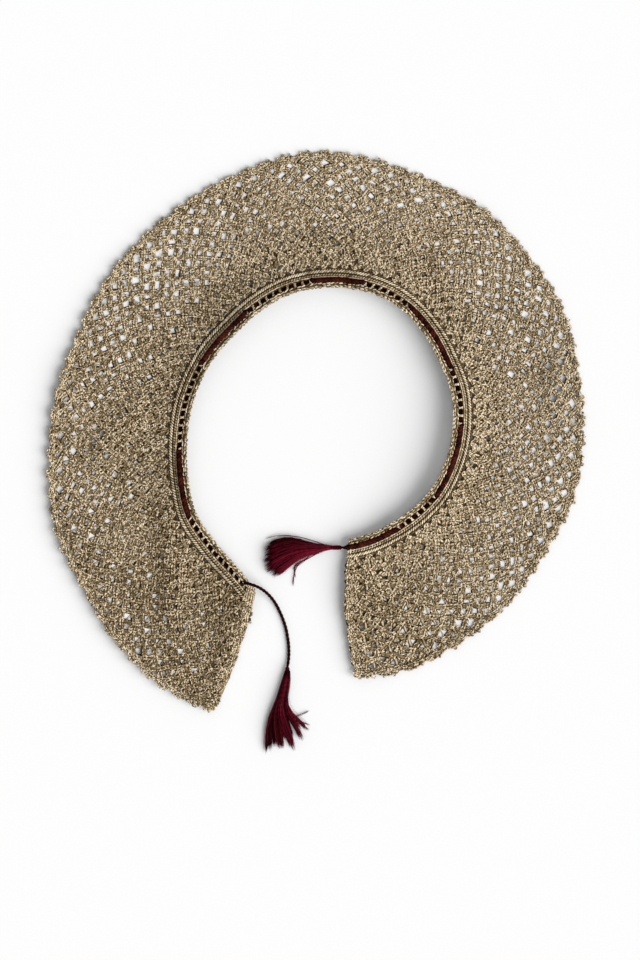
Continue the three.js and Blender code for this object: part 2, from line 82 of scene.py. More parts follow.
def unit(vectors: np.ndarray) -> np.ndarray:
    """Scale vectors to length one.

    Args:
        vectors: Array whose last axis holds x, y and z.

    Returns:
        The same array with each vector divided by its length.
    """
    return vectors / np.maximum(np.linalg.norm(vectors, axis=-1, keepdims=True), 1e-9)


def mix(start: np.ndarray, end: np.ndarray, share: np.ndarray) -> np.ndarray:
    """Return the value a share of the way from start to end."""
    return start + (end - start) * share


def inside(share: np.ndarray, margin: float) -> np.ndarray:
    """Keep shares of the neckline a margin away from both of its ends."""
    return np.clip(share, margin, 1 - margin)


def read_table(table: np.ndarray, column: int, at: np.ndarray) -> np.ndarray:
    """Read a table at any value of its first column, on a smooth curve through its rows.

    Args:
        table: The table, one row for each known value.
        column: Which column to read.
        at: Where to read it, in the first column's unit.

    Returns:
        The column's values there.
    """
    keys, values = table[:, 0], table[:, column]
    slopes = np.empty_like(values)
    slopes[1:-1] = (values[2:] - values[:-2]) / (keys[2:] - keys[:-2])
    slopes[0] = (values[1] - values[0]) / (keys[1] - keys[0])
    slopes[-1] = (values[-1] - values[-2]) / (keys[-1] - keys[-2])
    row = np.clip(np.searchsorted(keys, at) - 1, 0, len(keys) - 2)
    span = keys[row + 1] - keys[row]
    t = (at - keys[row]) / span
    return ((2 * t ** 3 - 3 * t ** 2 + 1) * values[row] + (t ** 3 - 2 * t ** 2 + t) * span * slopes[row]
            + (3 * t ** 2 - 2 * t ** 3) * values[row + 1] + (t ** 3 - t ** 2) * span * slopes[row + 1])


def smooth_curve(points: np.ndarray, count: int) -> np.ndarray:
    """Sample a smooth curve through points, evenly along its length.

    Args:
        points: The points it passes through, one row each.
        count: How many samples to return.

    Returns:
        An array of count points.
    """
    points = np.asarray(points, float)
    padded = np.vstack([2 * points[0] - points[1], points, 2 * points[-1] - points[-2]])
    fine = []
    steps = 12
    for i in range(1, len(padded) - 2):
        before, start, end, after = padded[i - 1:i + 3]
        t = np.linspace(0, 1, steps, endpoint=False)[:, None]
        fine.append(0.5 * (2 * start + (end - before) * t
                           + (2 * before - 5 * start + 4 * end - after) * t ** 2
                           + (3 * start - before - 3 * end + after) * t ** 3))
    fine = np.vstack(fine + [points[-1:]])
    lengths = np.concatenate([[0], np.cumsum(np.linalg.norm(np.diff(fine, axis=0), axis=1))])
    at = np.linspace(0, lengths[-1], count)
    return np.stack([np.interp(at, lengths, fine[:, k]) for k in range(fine.shape[1])], axis=1)


@dataclass(frozen=True)
class Fold:
    """A soft ridge along a line, highest in its middle."""

    from_turn: float
    from_across: float
    to_turn: float
    to_across: float
    height: float
    half_width: float


@dataclass
class CollarForm:
    """The surface that every stitch lies on: the underside of the fabric and its normals."""

    # turn, neck radius, hem radius, lean of the hem, belly, rise at the neck, lift at the hem
    sections: tuple = (
        (21.3, 99.2, 170.5, -1.0, -2.4, 4.3, 2.0),
        (30, 92.4, 171.0, -0.6, -1.2, 4.4, 3.0),
        (42, 88.0, 166.8, 0, 0, 4.7, 3.9),
        (55, 85.0, 161.0, 0, 0, 5.1, 3.8),
        (68, 79.2, 158.8, 0, 0, 5.7, 3.2),
        (82, 74.6, 152.4, 0, 0, 6.3, 2.9),
        (95, 71.9, 148.0, 0, 0, 7.0, 3.5),
        (108, 69.9, 143.7, 0, 0, 7.8, 2.9),
        (122, 68.3, 142.8, 0, 0, 8.4, 1.8),
        (136, 67.4, 142.2, 0, 0, 8.8, 1.2),
        (150, 69.0, 143.0, 0, 0, 9.0, 1.0),
        (164, 71.4, 145.7, 0, 0, 9.0, 0.6),
        (178, 73.0, 149.2, 0, 0, 9.1, 0),
        (191, 74.3, 147.8, 0, 0, 9.4, 0.6),
        (205, 75.4, 146.4, 0, 0, 10.0, 0),
        (218, 74.8, 147.8, 0, 0, 10.8, 1.2),
        (232, 73.2, 146.5, 0, 0, 11.6, 0),
        (245, 71.9, 147.3, 0, 0, 12.4, 0.5),
        (258, 72.3, 144.8, 0, 0, 13.0, 0),
        (272, 71.5, 144.8, 0, 0, 13.0, 0.8),
        (286, 70.8, 145.6, 0, 0, 12.4, 0),
        (300, 70.2, 143.2, 0, 0, 11.0, 0.6),
        (314, 68.6, 144.0, 0, 0, 9.4, 0),
        (327, 67.0, 144.2, 1.4, 0, 7.8, 0.8),
        (338, 66.6, 145.2, 3.6, 2.0, 6.2, 0),
        (347.3, 66.0, 142.0, 6.1, 4.3, 4.9, 0.4),
    )
    folds: tuple = (
        Fold(64, 14, 33, 56, 3.0, 12),
        Fold(24.5, 6, 23.5, 60, 2.6, 10),
        Fold(104, 20, 78, 62, 2.2, 13),
        Fold(148, 44, 192, 26, 2.0, 12),
        Fold(199, 48, 216, 12, 1.8, 12),
        Fold(252, 66, 274, 54, 2.0, 11),
    )
    # across, height of the curled right front end at its edge
    front_curl: tuple = ((0, 0), (8, 0.9), (17, 4.2), (28, 5.6), (40, 4.8), (52, 4.0), (64, 3.5), (80, 3.3))
    curl_start: float = 331
    roll_width: float = 34
    hem_zone: float = 16
    beading_across: float = 4.3
    centre: np.ndarray = field(init=False)

    def __post_init__(self) -> None:
        """Prepare the section curves, the neckline's length and the folds' lines."""
        self.table = np.array(self.sections, float)
        self.curl_table = np.array(self.front_curl, float)
        turns = self.table[:, 0]
        self.line_turns = np.linspace(turns[0], turns[-1], 401)
        beading = self.plan(self.line_turns, self.beading_across)[0]
        steps = np.linalg.norm(np.diff(beading, axis=0), axis=1)
        self.line_lengths = np.concatenate([[0], np.cumsum(steps)])
        self.length = float(self.line_lengths[-1])
        self.fold_lines = [
            (fold, self.plan(np.array(fold.from_turn), fold.from_across)[0],
             self.plan(np.array(fold.to_turn), fold.to_across)[0])
            for fold in self.folds
        ]
        self.centre = np.zeros(3)

    def column(self, number: int, turn: np.ndarray) -> np.ndarray:
        """Read one column of the sections at any turn."""
        return read_table(self.table, number, turn)

    @staticmethod
    def on_ground(turn: np.ndarray, radius: np.ndarray) -> np.ndarray:
        """Return plan points at turns and distances from the neck's centre."""
        angle = np.radians(turn)
        return np.stack([-np.sin(angle) * radius, -np.cos(angle) * radius], axis=-1)

    def plan(self, turn: np.ndarray, across: np.ndarray) -> tuple[np.ndarray, np.ndarray]:
        """Find plan points of the fabric, and its depth from neck to hem there.

        Args:
            turn: Turn of the neck edge, in degrees.
            across: Distance from the neck edge.

        Returns:
            The points and the depths.
        """
        turn = np.asarray(turn, float)
        neck = self.on_ground(turn, self.column(1, turn))
        hem = self.on_ground(turn + self.column(3, turn), self.column(2, turn))
        line = hem - neck
        depth = np.linalg.norm(line, axis=-1)
        share = across / depth
        belly = self.column(4, turn) * np.sin(np.pi * share)
        return neck + line * share[..., None] + self.on_ground(turn + 90, belly), depth

    def underside(self, turn: np.ndarray, across: np.ndarray) -> np.ndarray:
        """Find the fabric's underside: raised at the neck, flat, lightly lifted at the hem.

        Args:
            turn: Turns round the neck, in degrees.
            across: Distances from the neck edge.

        Returns:
            Its points.
        """
        flat, depth = self.plan(turn, across)
        roll = np.maximum(0, 1 - across / self.roll_width)
        turn_up = np.maximum(0, (across - depth + self.hem_zone) / self.hem_zone)
        curl = np.maximum(0, (turn - self.curl_start) / (self.table[-1, 0] - self.curl_start))
        height = (self.column(5, turn) * roll ** 2 + np.maximum(0, self.column(6, turn)) * turn_up ** 2
                  + np.maximum(0, read_table(self.curl_table, 1, across)) * curl ** 2)
        for fold, start, end in self.fold_lines:
            line = end - start
            share = np.clip(((flat - start) @ line) / (line @ line), 0, 1)
            distance = np.linalg.norm(start + line * share[..., None] - flat, axis=-1)
            bump = np.cos(np.pi / 2 * np.minimum(distance / fold.half_width, 1)) ** 2
            height = height + fold.height * np.sin(np.pi * share) * bump
        return np.concatenate([flat, height[..., None]], axis=-1)

    def lay(self, share: np.ndarray, across: np.ndarray,
            height: np.ndarray) -> tuple[np.ndarray, np.ndarray]:
        """Place points on the fabric.

        Args:
            share: Share of the neckline.
            across: Distance from the neck edge.
            height: Distance over the underside, along the fabric's normal.

        Returns:
            The points and the fabric's normals there.
        """
        places = (np.asarray(values, float) for values in (share, across, height))
        share, across, height = np.broadcast_arrays(*places)
        turn = self.turn_at(share)
        reach = 0.4
        along = self.underside(turn + reach, across) - self.underside(turn - reach, across)
        outwards = self.underside(turn, across + reach) - self.underside(turn, across - reach)
        normal = unit(np.cross(along, outwards))
        return self.underside(turn, across) + normal * height[..., None], normal

    def above(self, share: np.ndarray, across: np.ndarray,
              height: np.ndarray) -> tuple[np.ndarray, np.ndarray]:
        """Place points over the fabric, straight above where they lie in plan.

        Args:
            share: Share of the neckline.
            across: Distance from the neck edge.
            height: Distance from the underside.

        Returns:
            The points and the fabric's normals there.
        """
        base, normal = self.lay(share, across, 0)
        base[..., 2] += height / normal[..., 2]
        return base, normal

    def turn_at(self, share: np.ndarray) -> np.ndarray:
        """Return the turn at a share of the neckline."""
        return np.interp(np.asarray(share) * self.length, self.line_lengths, self.line_turns)

    def share_at(self, turn: float) -> float:
        """Return the share of the neckline at a turn."""
        return float(np.interp(turn, self.line_turns, self.line_lengths)) / self.length

    def depth(self, share: np.ndarray) -> np.ndarray:
        """Return the distance from neck edge to hem at a share of the neckline."""
        return self.plan(self.turn_at(share), np.zeros_like(np.asarray(share, float)))[1]

    def flat_size(self, sector: Sector) -> tuple[float, float, float]:
        """Measure a quarter of the crochet flat in plan, neckband and hem included.

        Args:
            sector: Which quarter.

        Returns:
            Its width, its length from neck to hem and its area, in metres and square metres.
        """
        share = mix(sector.value, sector.value + 1, np.linspace(0, 1, 41)) / len(Sector)
        turn = self.turn_at(share)
        part = np.linspace(0, 1, 21)[:, None]
        plan = self.plan(turn, part * self.plan(turn, 0)[1])[0]
        along, out = np.diff(plan, axis=1)[:-1], np.diff(plan, axis=0)[:, :-1]
        area = float(np.abs(along[..., 0] * out[..., 1] - along[..., 1] * out[..., 0]).sum())
        middle = math.radians(float(turn[20]))
        outwards = np.array([-math.sin(middle), -math.cos(middle)])
        length = float(np.ptp(plan @ outwards))
        width = float(np.ptp(plan @ np.array([outwards[1], -outwards[0]])))
        return width * MM, length * MM, area * MM ** 2

    def find_centre(self, node: str, share: np.ndarray, across: np.ndarray, height: np.ndarray) -> None:
        """Find where the neck's centre lies in the part's frame, from the box of a node.

        Args:
            node: A node of the frame.
            share: Shares of the points that the node's box is drawn round.
            across: Their distances from the neck edge.
            height: Their heights over the underside.
        """
        points = self.lay(share, across, height)[0].reshape(-1, 3)
        low, high = (np.array(corner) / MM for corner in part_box(node))
        own = (points.min(axis=0) + points.max(axis=0)) / 2
        self.centre = (low + high) / 2 - own
        self.centre[2] = 0


class YarnMesh:
    """Strands of yarn, each a row of small rings closed at both ends, collected to make one mesh."""

    def __init__(self, name: str, sides: int = 4) -> None:
        """Start an empty mesh of strands.

        Args:
            name: Name of the piece that it becomes.
            sides: How many sides a strand has.
        """
        self.name = name
        self.sides = sides
        self.points: list[np.ndarray] = []
        self.depths: list[np.ndarray] = []
        self.tones: list[np.ndarray] = []
        self.faces: list[tuple[np.ndarray, np.ndarray]] = []
        self.maps: list[tuple[np.ndarray, np.ndarray]] = []
        self.strands = 0
        self.vertices = 0

    def add(self, line: np.ndarray, up: np.ndarray, wide: np.ndarray, high: np.ndarray,
            tone: np.ndarray, low: float = 1.0, tips: float = 1.0) -> None:
        """Add strands that follow lines of points, thickest between their ends.

        Args:
            line: Points of each strand, an array of strands by points by 3, from tip to tip.
            up: A direction for each strand or point that is the strand's own upside.
            wide: Half widths of the inner points, an array that fits strands by inner points.
            high: Half heights of the same.
            tone: Lightness of each strand's yarn or of its inner points, from 0 to 1.
            low: How much painted shade darkens the strand's underside, from 0 to 1.
            tips: How much painted shade darkens its two ends.
        """
        count, rings = line.shape[0], line.shape[1] - 2
        along = unit(line[:, 2:] - line[:, :-2])
        up = np.broadcast_to(up if up.ndim == 3 else up[:, None, :], along.shape)
        side = unit(np.cross(up, along))
        up = np.cross(along, side)
        wide = np.broadcast_to(wide, (count, rings))
        high = np.broadcast_to(high, (count, rings))
        angles = 2 * np.pi * np.arange(self.sides) / self.sides
        ring = (line[:, 1:-1, None, :]
                + side[:, :, None, :] * (wide[..., None] * np.sin(angles))[..., None]
                + up[:, :, None, :] * (high[..., None] * np.cos(angles))[..., None])
        body = ring.reshape(count, rings * self.sides, 3)
        points = np.concatenate([line[:, :1], body, line[:, -1:]], axis=1)
        # painted shade: none on a strand's top, most on its underside and at its two tips
        around = low * (1 - np.cos(angles)) / 2
        depth = np.concatenate([[tips], np.tile(around, rings), [tips]])
        self.points.append(points.reshape(-1, 3))
        self.depths.append(np.tile(depth, count))
        tone = np.broadcast_to(np.reshape(tone, (count, -1)), (count, rings))
        around_tone = np.repeat(tone, self.sides, axis=1)
        self.tones.append(np.concatenate([tone[:, :1], around_tone, tone[:, -1:]], axis=1).ravel())
        self._add_faces(line, count, rings)

    def _add_faces(self, line: np.ndarray, count: int, rings: int) -> None:
        """Add the faces and map places of strands that were just added.

        Args:
            line: Points of each strand.
            count: How many strands there are.
            rings: How many rings each has between its tips.
        """
        sides = self.sides
        per_strand = rings * sides + 2
        index = np.arange(sides)
        following = (index + 1) % sides
        lengths = np.concatenate([[0], np.cumsum(np.linalg.norm(np.diff(line[0], axis=0), axis=1))])
        v = lengths / lengths[-1]
        start_fan = np.stack([np.zeros(sides, int), 1 + following, 1 + index], axis=1)
        last_ring = 1 + (rings - 1) * sides
        end_fan = np.stack([np.full(sides, per_strand - 1), last_ring + index, last_ring + following],
                           axis=1)
        left, right, middle = index / sides, (index + 1) / sides, (index + 0.5) / sides
        fan_map = [np.stack([middle, right, left], axis=1), np.stack([middle, left, right], axis=1)]
        tri_v = [np.tile([v[0], v[1], v[1]], (sides, 1)), np.tile([v[-1], v[-2], v[-2]], (sides, 1))]
        quads, quad_u, quad_v = [], [], []
        for r in range(rings - 1):
            near, far = 1 + r * sides, 1 + (r + 1) * sides
            quads.append(np.stack([near + index, near + following, far + following, far + index], axis=1))
            quad_u.append(np.stack([left, right, right, left], axis=1))
            quad_v.append(np.tile([v[r + 1], v[r + 1], v[r + 2], v[r + 2]], (sides, 1)))
        corners = [start_fan.ravel(), end_fan.ravel()] + [q.ravel() for q in quads]
        sizes = np.concatenate([np.full(2 * sides, 3), np.full(sides * (rings - 1), 4)])
        u = np.concatenate([fan_map[0].ravel(), fan_map[1].ravel()] + [q.ravel() for q in quad_u])
        v_all = np.concatenate([tri_v[0].ravel(), tri_v[1].ravel()] + [q.ravel() for q in quad_v])
        corners = np.concatenate(corners)
        offsets = self.vertices + per_strand * np.arange(count)
        self.faces.append(((corners[None, :] + offsets[:, None]).ravel(), np.tile(sizes, count)))
        own_map = np.stack([u, v_all], axis=1)
        strand = self.strands + np.arange(count)
        self.maps.append((np.tile(own_map, (count, 1)), np.repeat(strand, len(u))))
        self.vertices += per_strand * count
        self.strands += count

    def build(self, centre: np.ndarray) -> bpy.types.Object:
        """Make the mesh, with its depth attribute of painted shade, its tone attribute and its two maps.

        Args:
            centre: Where the neck's centre lies in the part's frame, in millimetres.

        Returns:
            The new object.
        """
        mesh = bpy.data.meshes.new(self.name)
        points = (np.vstack(self.points) + centre) * MM
        corners = np.concatenate([c for c, _ in self.faces])
        sizes = np.concatenate([s for _, s in self.faces])
        mesh.vertices.add(len(points))
        mesh.vertices.foreach_set("co", points.astype(np.float32).ravel())
        mesh.loops.add(len(corners))
        mesh.loops.foreach_set("vertex_index", corners.astype(np.int32))
        mesh.polygons.add(len(sizes))
        starts = np.concatenate([[0], np.cumsum(sizes)[:-1]])
        mesh.polygons.foreach_set("loop_start", starts.astype(np.int32))
        mesh.polygons.foreach_set("use_smooth", np.ones(len(sizes), bool))
        mesh.update(calc_edges=True)
        # depth holds the painted shade; tone holds the yarn's uneven lightness, with painted light and
        # shade where the callers give it
        for name, values in (("depth", self.depths), ("tone", self.tones)):
            layer = mesh.attributes.new(name, "FLOAT", "POINT")
            layer.data.foreach_set("value", np.concatenate(values).astype(np.float32))
        own = np.vstack([m for m, _ in self.maps])
        strand = np.concatenate([s for _, s in self.maps])
        # one square cell a strand for baking, and the strand's own map for its plies
        cells = math.ceil(math.sqrt(self.strands))
        margin = 0.08
        place = np.stack([strand % cells, strand // cells], axis=1)
        atlas = (place + margin + own * (1 - 2 * margin)) / cells
        for name, values in (("OFBake", atlas), ("Yarn", own)):
            layer = mesh.uv_layers.new(name=name)
            layer.data.foreach_set("uv", values.astype(np.float32).ravel())
        mesh.validate()
        made = bpy.data.objects.new(self.name, mesh)
        bpy.context.scene.collection.objects.link(made)
        return made


@dataclass(frozen=True)
class YarnFinish:
    """Cotton or silk yarn: a colour with painted shade between and under strands and a painted highlight on
    their tops, plies, fine fibres and a soft sheen.
    """

    name: str
    deep: tuple[float, float, float]
    middle: tuple[float, float, float]
    pale: tuple[float, float, float]
    bright: tuple[float, float, float]
    roughness: float
    sheen: float
    sheen_tint: tuple[float, float, float]
    specular: float
    plies: float
    ply_turns: float
    ply_bump: float
    fibre_scale: float
    patch_scale: float
    speckle: float = 0.3
    # weights of depth (the painted shade), tone and patches in the lightness, and what it starts from
    painted_shade_weight: float = -0.85
    tone_weight: float = 0.7
    patch_weight: float = 0.3
    base_lightness: float = 0.37
    # how much of the bump the plies make, and the fibres
    ply_weight: float = 0.5
    fibre_weight: float = 0.6
    # lightness of the deep, middle, pale and bright colours; deep serves the painted shade and bright the
    # painted highlight, besides the yarn's uneven tone
    steps: tuple = (0.05, 0.36, 0.68, 0.95)
    sheen_roughness: float = 0.45
    bump_distance: float = 0.0002

    def make(self) -> bpy.types.Material:
        """Build the material's nodes.

        Returns:
            The material.
        """
        material = bpy.data.materials.new(self.name)
        material.use_nodes = True
        tree = material.node_tree
        shader = tree.nodes["Principled BSDF"]
        shader.inputs["Roughness"].default_value = self.roughness
        shader.inputs["Sheen Weight"].default_value = self.sheen
        shader.inputs["Sheen Roughness"].default_value = self.sheen_roughness
        shader.inputs["Sheen Tint"].default_value = (*self.sheen_tint, 1)
        shader.inputs["Specular IOR Level"].default_value = self.specular
        tree.links.new(self._colour(tree), shader.inputs["Base Color"])
        tree.links.new(self._bump(tree), shader.inputs["Normal"])
        return material

    def _colour(self, tree: bpy.types.NodeTree) -> bpy.types.NodeSocket:
        """Make the colour: a painted highlight on top of a strand, painted shade between strands, uneven
        from strand to strand.

        Args:
            tree: The finish's nodes.

        Returns:
            The colour's socket.
        """
        depth = tree.nodes.new("ShaderNodeAttribute")
        depth.attribute_name = "depth"
        tone = tree.nodes.new("ShaderNodeAttribute")
        tone.attribute_name = "tone"
        places = tree.nodes.new("ShaderNodeTexCoord")
        patches = self._noise(tree, places, self.patch_scale, 3)
        fibres = self._noise(tree, places, self.fibre_scale, 2)
        parts = [(depth.outputs["Fac"], self.painted_shade_weight), (tone.outputs["Fac"], self.tone_weight),
                 (patches, self.patch_weight), (fibres, self.speckle)]
        lightness = self._sum(tree, parts, self.base_lightness - self.speckle / 2)
        ramp = tree.nodes.new("ShaderNodeValToRGB")
        stops = ramp.color_ramp.elements
        stops[0].position, stops[0].color = self.steps[0], (*self.deep, 1)
        stops[1].position, stops[1].color = self.steps[3], (*self.bright, 1)
        for position, colour in ((self.steps[1], self.middle), (self.steps[2], self.pale)):
            stop = stops.new(position)
            stop.color = (*colour, 1)
        tree.links.new(lightness, ramp.inputs["Fac"])
        return ramp.outputs["Color"]

    def _bump(self, tree: bpy.types.NodeTree) -> bpy.types.NodeSocket:
        """Make the bump: plies that wind round the strand, and fine fibres over them.

        Args:
            tree: The finish's nodes.

        Returns:
            The bump's socket.
        """
        own = tree.nodes.new("ShaderNodeUVMap")
        own.uv_map = "Yarn"
        split = tree.nodes.new("ShaderNodeSeparateXYZ")
        tree.links.new(own.outputs["UV"], split.inputs["Vector"])
        turn = 2 * math.pi
        angle = self._sum(tree, [(split.outputs["X"], self.plies * turn),
                                 (split.outputs["Y"], self.ply_turns * turn)], 0)
        wave = tree.nodes.new("ShaderNodeMath")
        wave.operation = "SINE"
        tree.links.new(angle, wave.inputs[0])
        places = tree.nodes.new("ShaderNodeTexCoord")
        fibres = self._noise(tree, places, self.fibre_scale * 2, 2)
        height = self._sum(tree, [(wave.outputs["Value"], self.ply_weight),
                                  (fibres, self.fibre_weight)], 0)
        bump = tree.nodes.new("ShaderNodeBump")
        bump.inputs["Strength"].default_value = self.ply_bump
        bump.inputs["Distance"].default_value = self.bump_distance
        tree.links.new(height, bump.inputs["Height"])
        return bump.outputs["Normal"]

    @staticmethod
    def _noise(tree: bpy.types.NodeTree, places: bpy.types.Node, scale: float,
               detail: float) -> bpy.types.NodeSocket:
        """Add a noise texture over the object's own places.

        Args:
            tree: The finish's nodes.
            places: The node that gives the places.
            scale: Features a metre.
            detail: How fine the noise is.

        Returns:
            Its socket.
        """
        noise = tree.nodes.new("ShaderNodeTexNoise")
        noise.inputs["Scale"].default_value = scale
        noise.inputs["Detail"].default_value = detail
        tree.links.new(places.outputs["Object"], noise.inputs["Vector"])
        return noise.outputs["Fac"]

    @staticmethod
    def _sum(tree: bpy.types.NodeTree, parts: list, start: float) -> bpy.types.NodeSocket:
        """Add up sockets, each times its own weight.

        Args:
            tree: The material's nodes.
            parts: Pairs of a socket and its weight.
            start: What the sum starts from.

        Returns:
            The socket that holds the sum.
        """
        total = None
        for socket, weight in parts:
            step = tree.nodes.new("ShaderNodeMath")
            step.operation = "MULTIPLY_ADD"
            step.inputs[1].default_value = weight
            step.inputs[2].default_value = start
            tree.links.new(socket, step.inputs[0])
            if total is not None:
                tree.links.new(total, step.inputs[2])
            total = step.outputs["Value"]
        return total


@dataclass
class Braid:
    """A crochet chain: two plump legs a stitch, in a V that opens the way the work runs."""

    width: float = 2.0
    thickness: float = 0.34
    overlap: float = 0.34
    rear_spread: float = 0.1
    front_spread: float = 0.3
    flatness: float = 0.94
    uneven: float = 0.1
    slip: float = 0.09
    contrast: float = 0.2
    stitch_contrast: float = 0.18

    def leg(self) -> np.ndarray:
        """Place the four points of a leg.

        Returns:
            For each, its share of the stitch's length along and of its width outwards, and its height.
        """
        return np.array((
            (-self.overlap, self.rear_spread, -0.28),
            (0.12, 0.82 * self.front_spread, 0.16),
            (0.68, 1.1 * self.front_spread, 0.12),
            (1.06, 0.8 * self.front_spread, -0.24),
        ))

    def lay(self, yarn: YarnMesh, points: np.ndarray, normals: np.ndarray,
            rng: np.random.Generator, scale: np.ndarray | float = 1.0,
            brightness: np.ndarray | float = 0.5) -> None:
        """Lay a chain along lines, one stitch between each two points.

        Args:
            yarn: The mesh that takes the legs.
            points: Lines of points, an array of chains by points by 3.
            normals: The fabric's normals at those points.
            rng: Where the unevenness comes from.
            scale: Width of each chain as a multiple of the usual one.
            brightness: Mean lightness of each chain's yarn, from 0 to 1.
        """
        start, end = points[:, :-1].reshape(-1, 3), points[:, 1:].reshape(-1, 3)
        normal = normals[:, :-1].reshape(-1, 3)
        stitches = points.shape[1] - 1
        scale = np.repeat(np.broadcast_to(scale, (len(points),)), stitches)[:, None]
        along = end - start
        side = unit(np.cross(normal, along))
        wide = self.width * scale * (1 + self.uneven * rng.standard_normal((len(start), 1)))
        brightness = np.repeat(np.broadcast_to(brightness, (len(points),)), stitches)
        stitch_tone = brightness + self.stitch_contrast * rng.standard_normal(len(start))
        forward, outward, upward = self.leg().T[:, None, :, None]
        for way in (-1, 1):
            line = (start[:, None] + along[:, None] * forward + (side * way * wide)[:, None] * outward
                    + normal[:, None] * upward)
            line = line + rng.normal(0, self.slip, line.shape)
            thick = (self.thickness * (1 + 0.1 * rng.standard_normal(len(start))))[:, None]
            tone = np.clip(stitch_tone + self.contrast * rng.standard_normal(len(start)), 0, 1)
            yarn.add(line, normal, thick, thick * self.flatness, tone)


@dataclass
class Picot:
    """A small knob: a ring of a few stitches pulled together unevenly, sometimes with one missing."""

    radius: float = 0.8
    thickness: float = 0.38
    stitches: int = 4
    overlap: float = 0.22
    gaping: float = 0.4
    tousle: float = 0.2
    tilt: float = 0.2
    squash: tuple = (0.78, 1.08)
    contrast: float = 0.22
    knob_contrast: float = 0.16
    # heights of a stitch's four points
    arch: tuple = (-0.26, 0.12, 0.12, -0.26)

    def lay(self, yarn: YarnMesh, centre: np.ndarray, along: np.ndarray, normal: np.ndarray,
            rng: np.random.Generator, scale: np.ndarray | float = 1.0,
            brightness: np.ndarray | float = 0.55) -> None:
        """Lay knobs round points.

        Args:
            yarn: The mesh that takes the stitches.
            centre: The knobs' middles, one row each.
            along: A direction along the fabric for each knob.
            normal: The fabric's normals there.
            rng: Where the unevenness comes from.
            scale: Size of each knob as a multiple of the usual one.
            brightness: Mean lightness of the yarn, from 0 to 1.
        """
        count = len(centre)
        side = unit(np.cross(normal, along))
        along = np.cross(side, normal)
        spin = rng.uniform(0, 2 * np.pi, (count, 1))
        radius = self.radius * np.broadcast_to(scale, (count,))[:, None]
        radius = radius * rng.normal(1, 0.1, (count, 1))
        squash = rng.uniform(*self.squash, (count, 1))
        tilt = rng.normal(0, self.tilt, (count, 1))
        knob_tone = brightness + self.knob_contrast * rng.standard_normal(count)
        gapes = rng.random(count) < self.gaping
        step = 2 * np.pi / self.stitches
        parts = np.array([-self.overlap, 0.2, 0.8, 1 + self.overlap])
        for k in range(self.stitches):
            angle = spin + step * (k + parts[None, :])
            height = np.array(self.arch)[None, :] + tilt * np.cos(angle)
            height = height + rng.normal(0, 0.08, (count, 4))
            line = (centre[:, None, :]
                    + along[:, None, :] * (radius * np.cos(angle))[..., None]
                    + side[:, None, :] * (radius * squash * np.sin(angle))[..., None]
                    + normal[:, None, :] * height[..., None]
                    + rng.normal(0, self.tousle, (count, 1, 3)))
            thick = self.thickness * rng.normal(1, 0.1, (count, 1))
            tone = np.clip(knob_tone + self.contrast * rng.standard_normal(count), 0, 1)
            kept = ~gapes if k == 0 else np.ones(count, bool)
            yarn.add(line[kept], normal[kept], thick[kept], thick[kept], tone[kept])


@dataclass
class Underlay:
    """The yarn at the back of a chain, darker as painted shade between the stitches on top of it."""

    half_width: float = 0.8
    half_height: float = 0.24
    sink: float = 0.34
    # a darker tone: painted shade under the stitches
    tone: float = -0.08

    def lay(self, yarn: YarnMesh, points: np.ndarray, normals: np.ndarray,
            half_width: np.ndarray | None = None, shade: np.ndarray | float = 0.0) -> None:
        """Lay a flat strand just under lines of points.

        Args:
            yarn: The mesh that takes it.
            points: Lines of points, an array of strands by points by 3.
            normals: The fabric's normals at those points.
            half_width: Half width of each strand, where it isn't the usual one.
            shade: How much lighter each strand is than usual.
        """
        line = points - normals * self.sink
        wide = self.half_width if half_width is None else half_width[:, None]
        tone = np.broadcast_to(self.tone + shade, (len(points),))
        yarn.add(line, normals[:, 1:-1], wide, self.half_height, tone)


@dataclass(frozen=True)
class Slack:
    """A part of the net that is pulled more open than the rest, or less where amount is negative."""

    turn: float
    across: float
    turn_reach: float
    across_reach: float
    amount: float


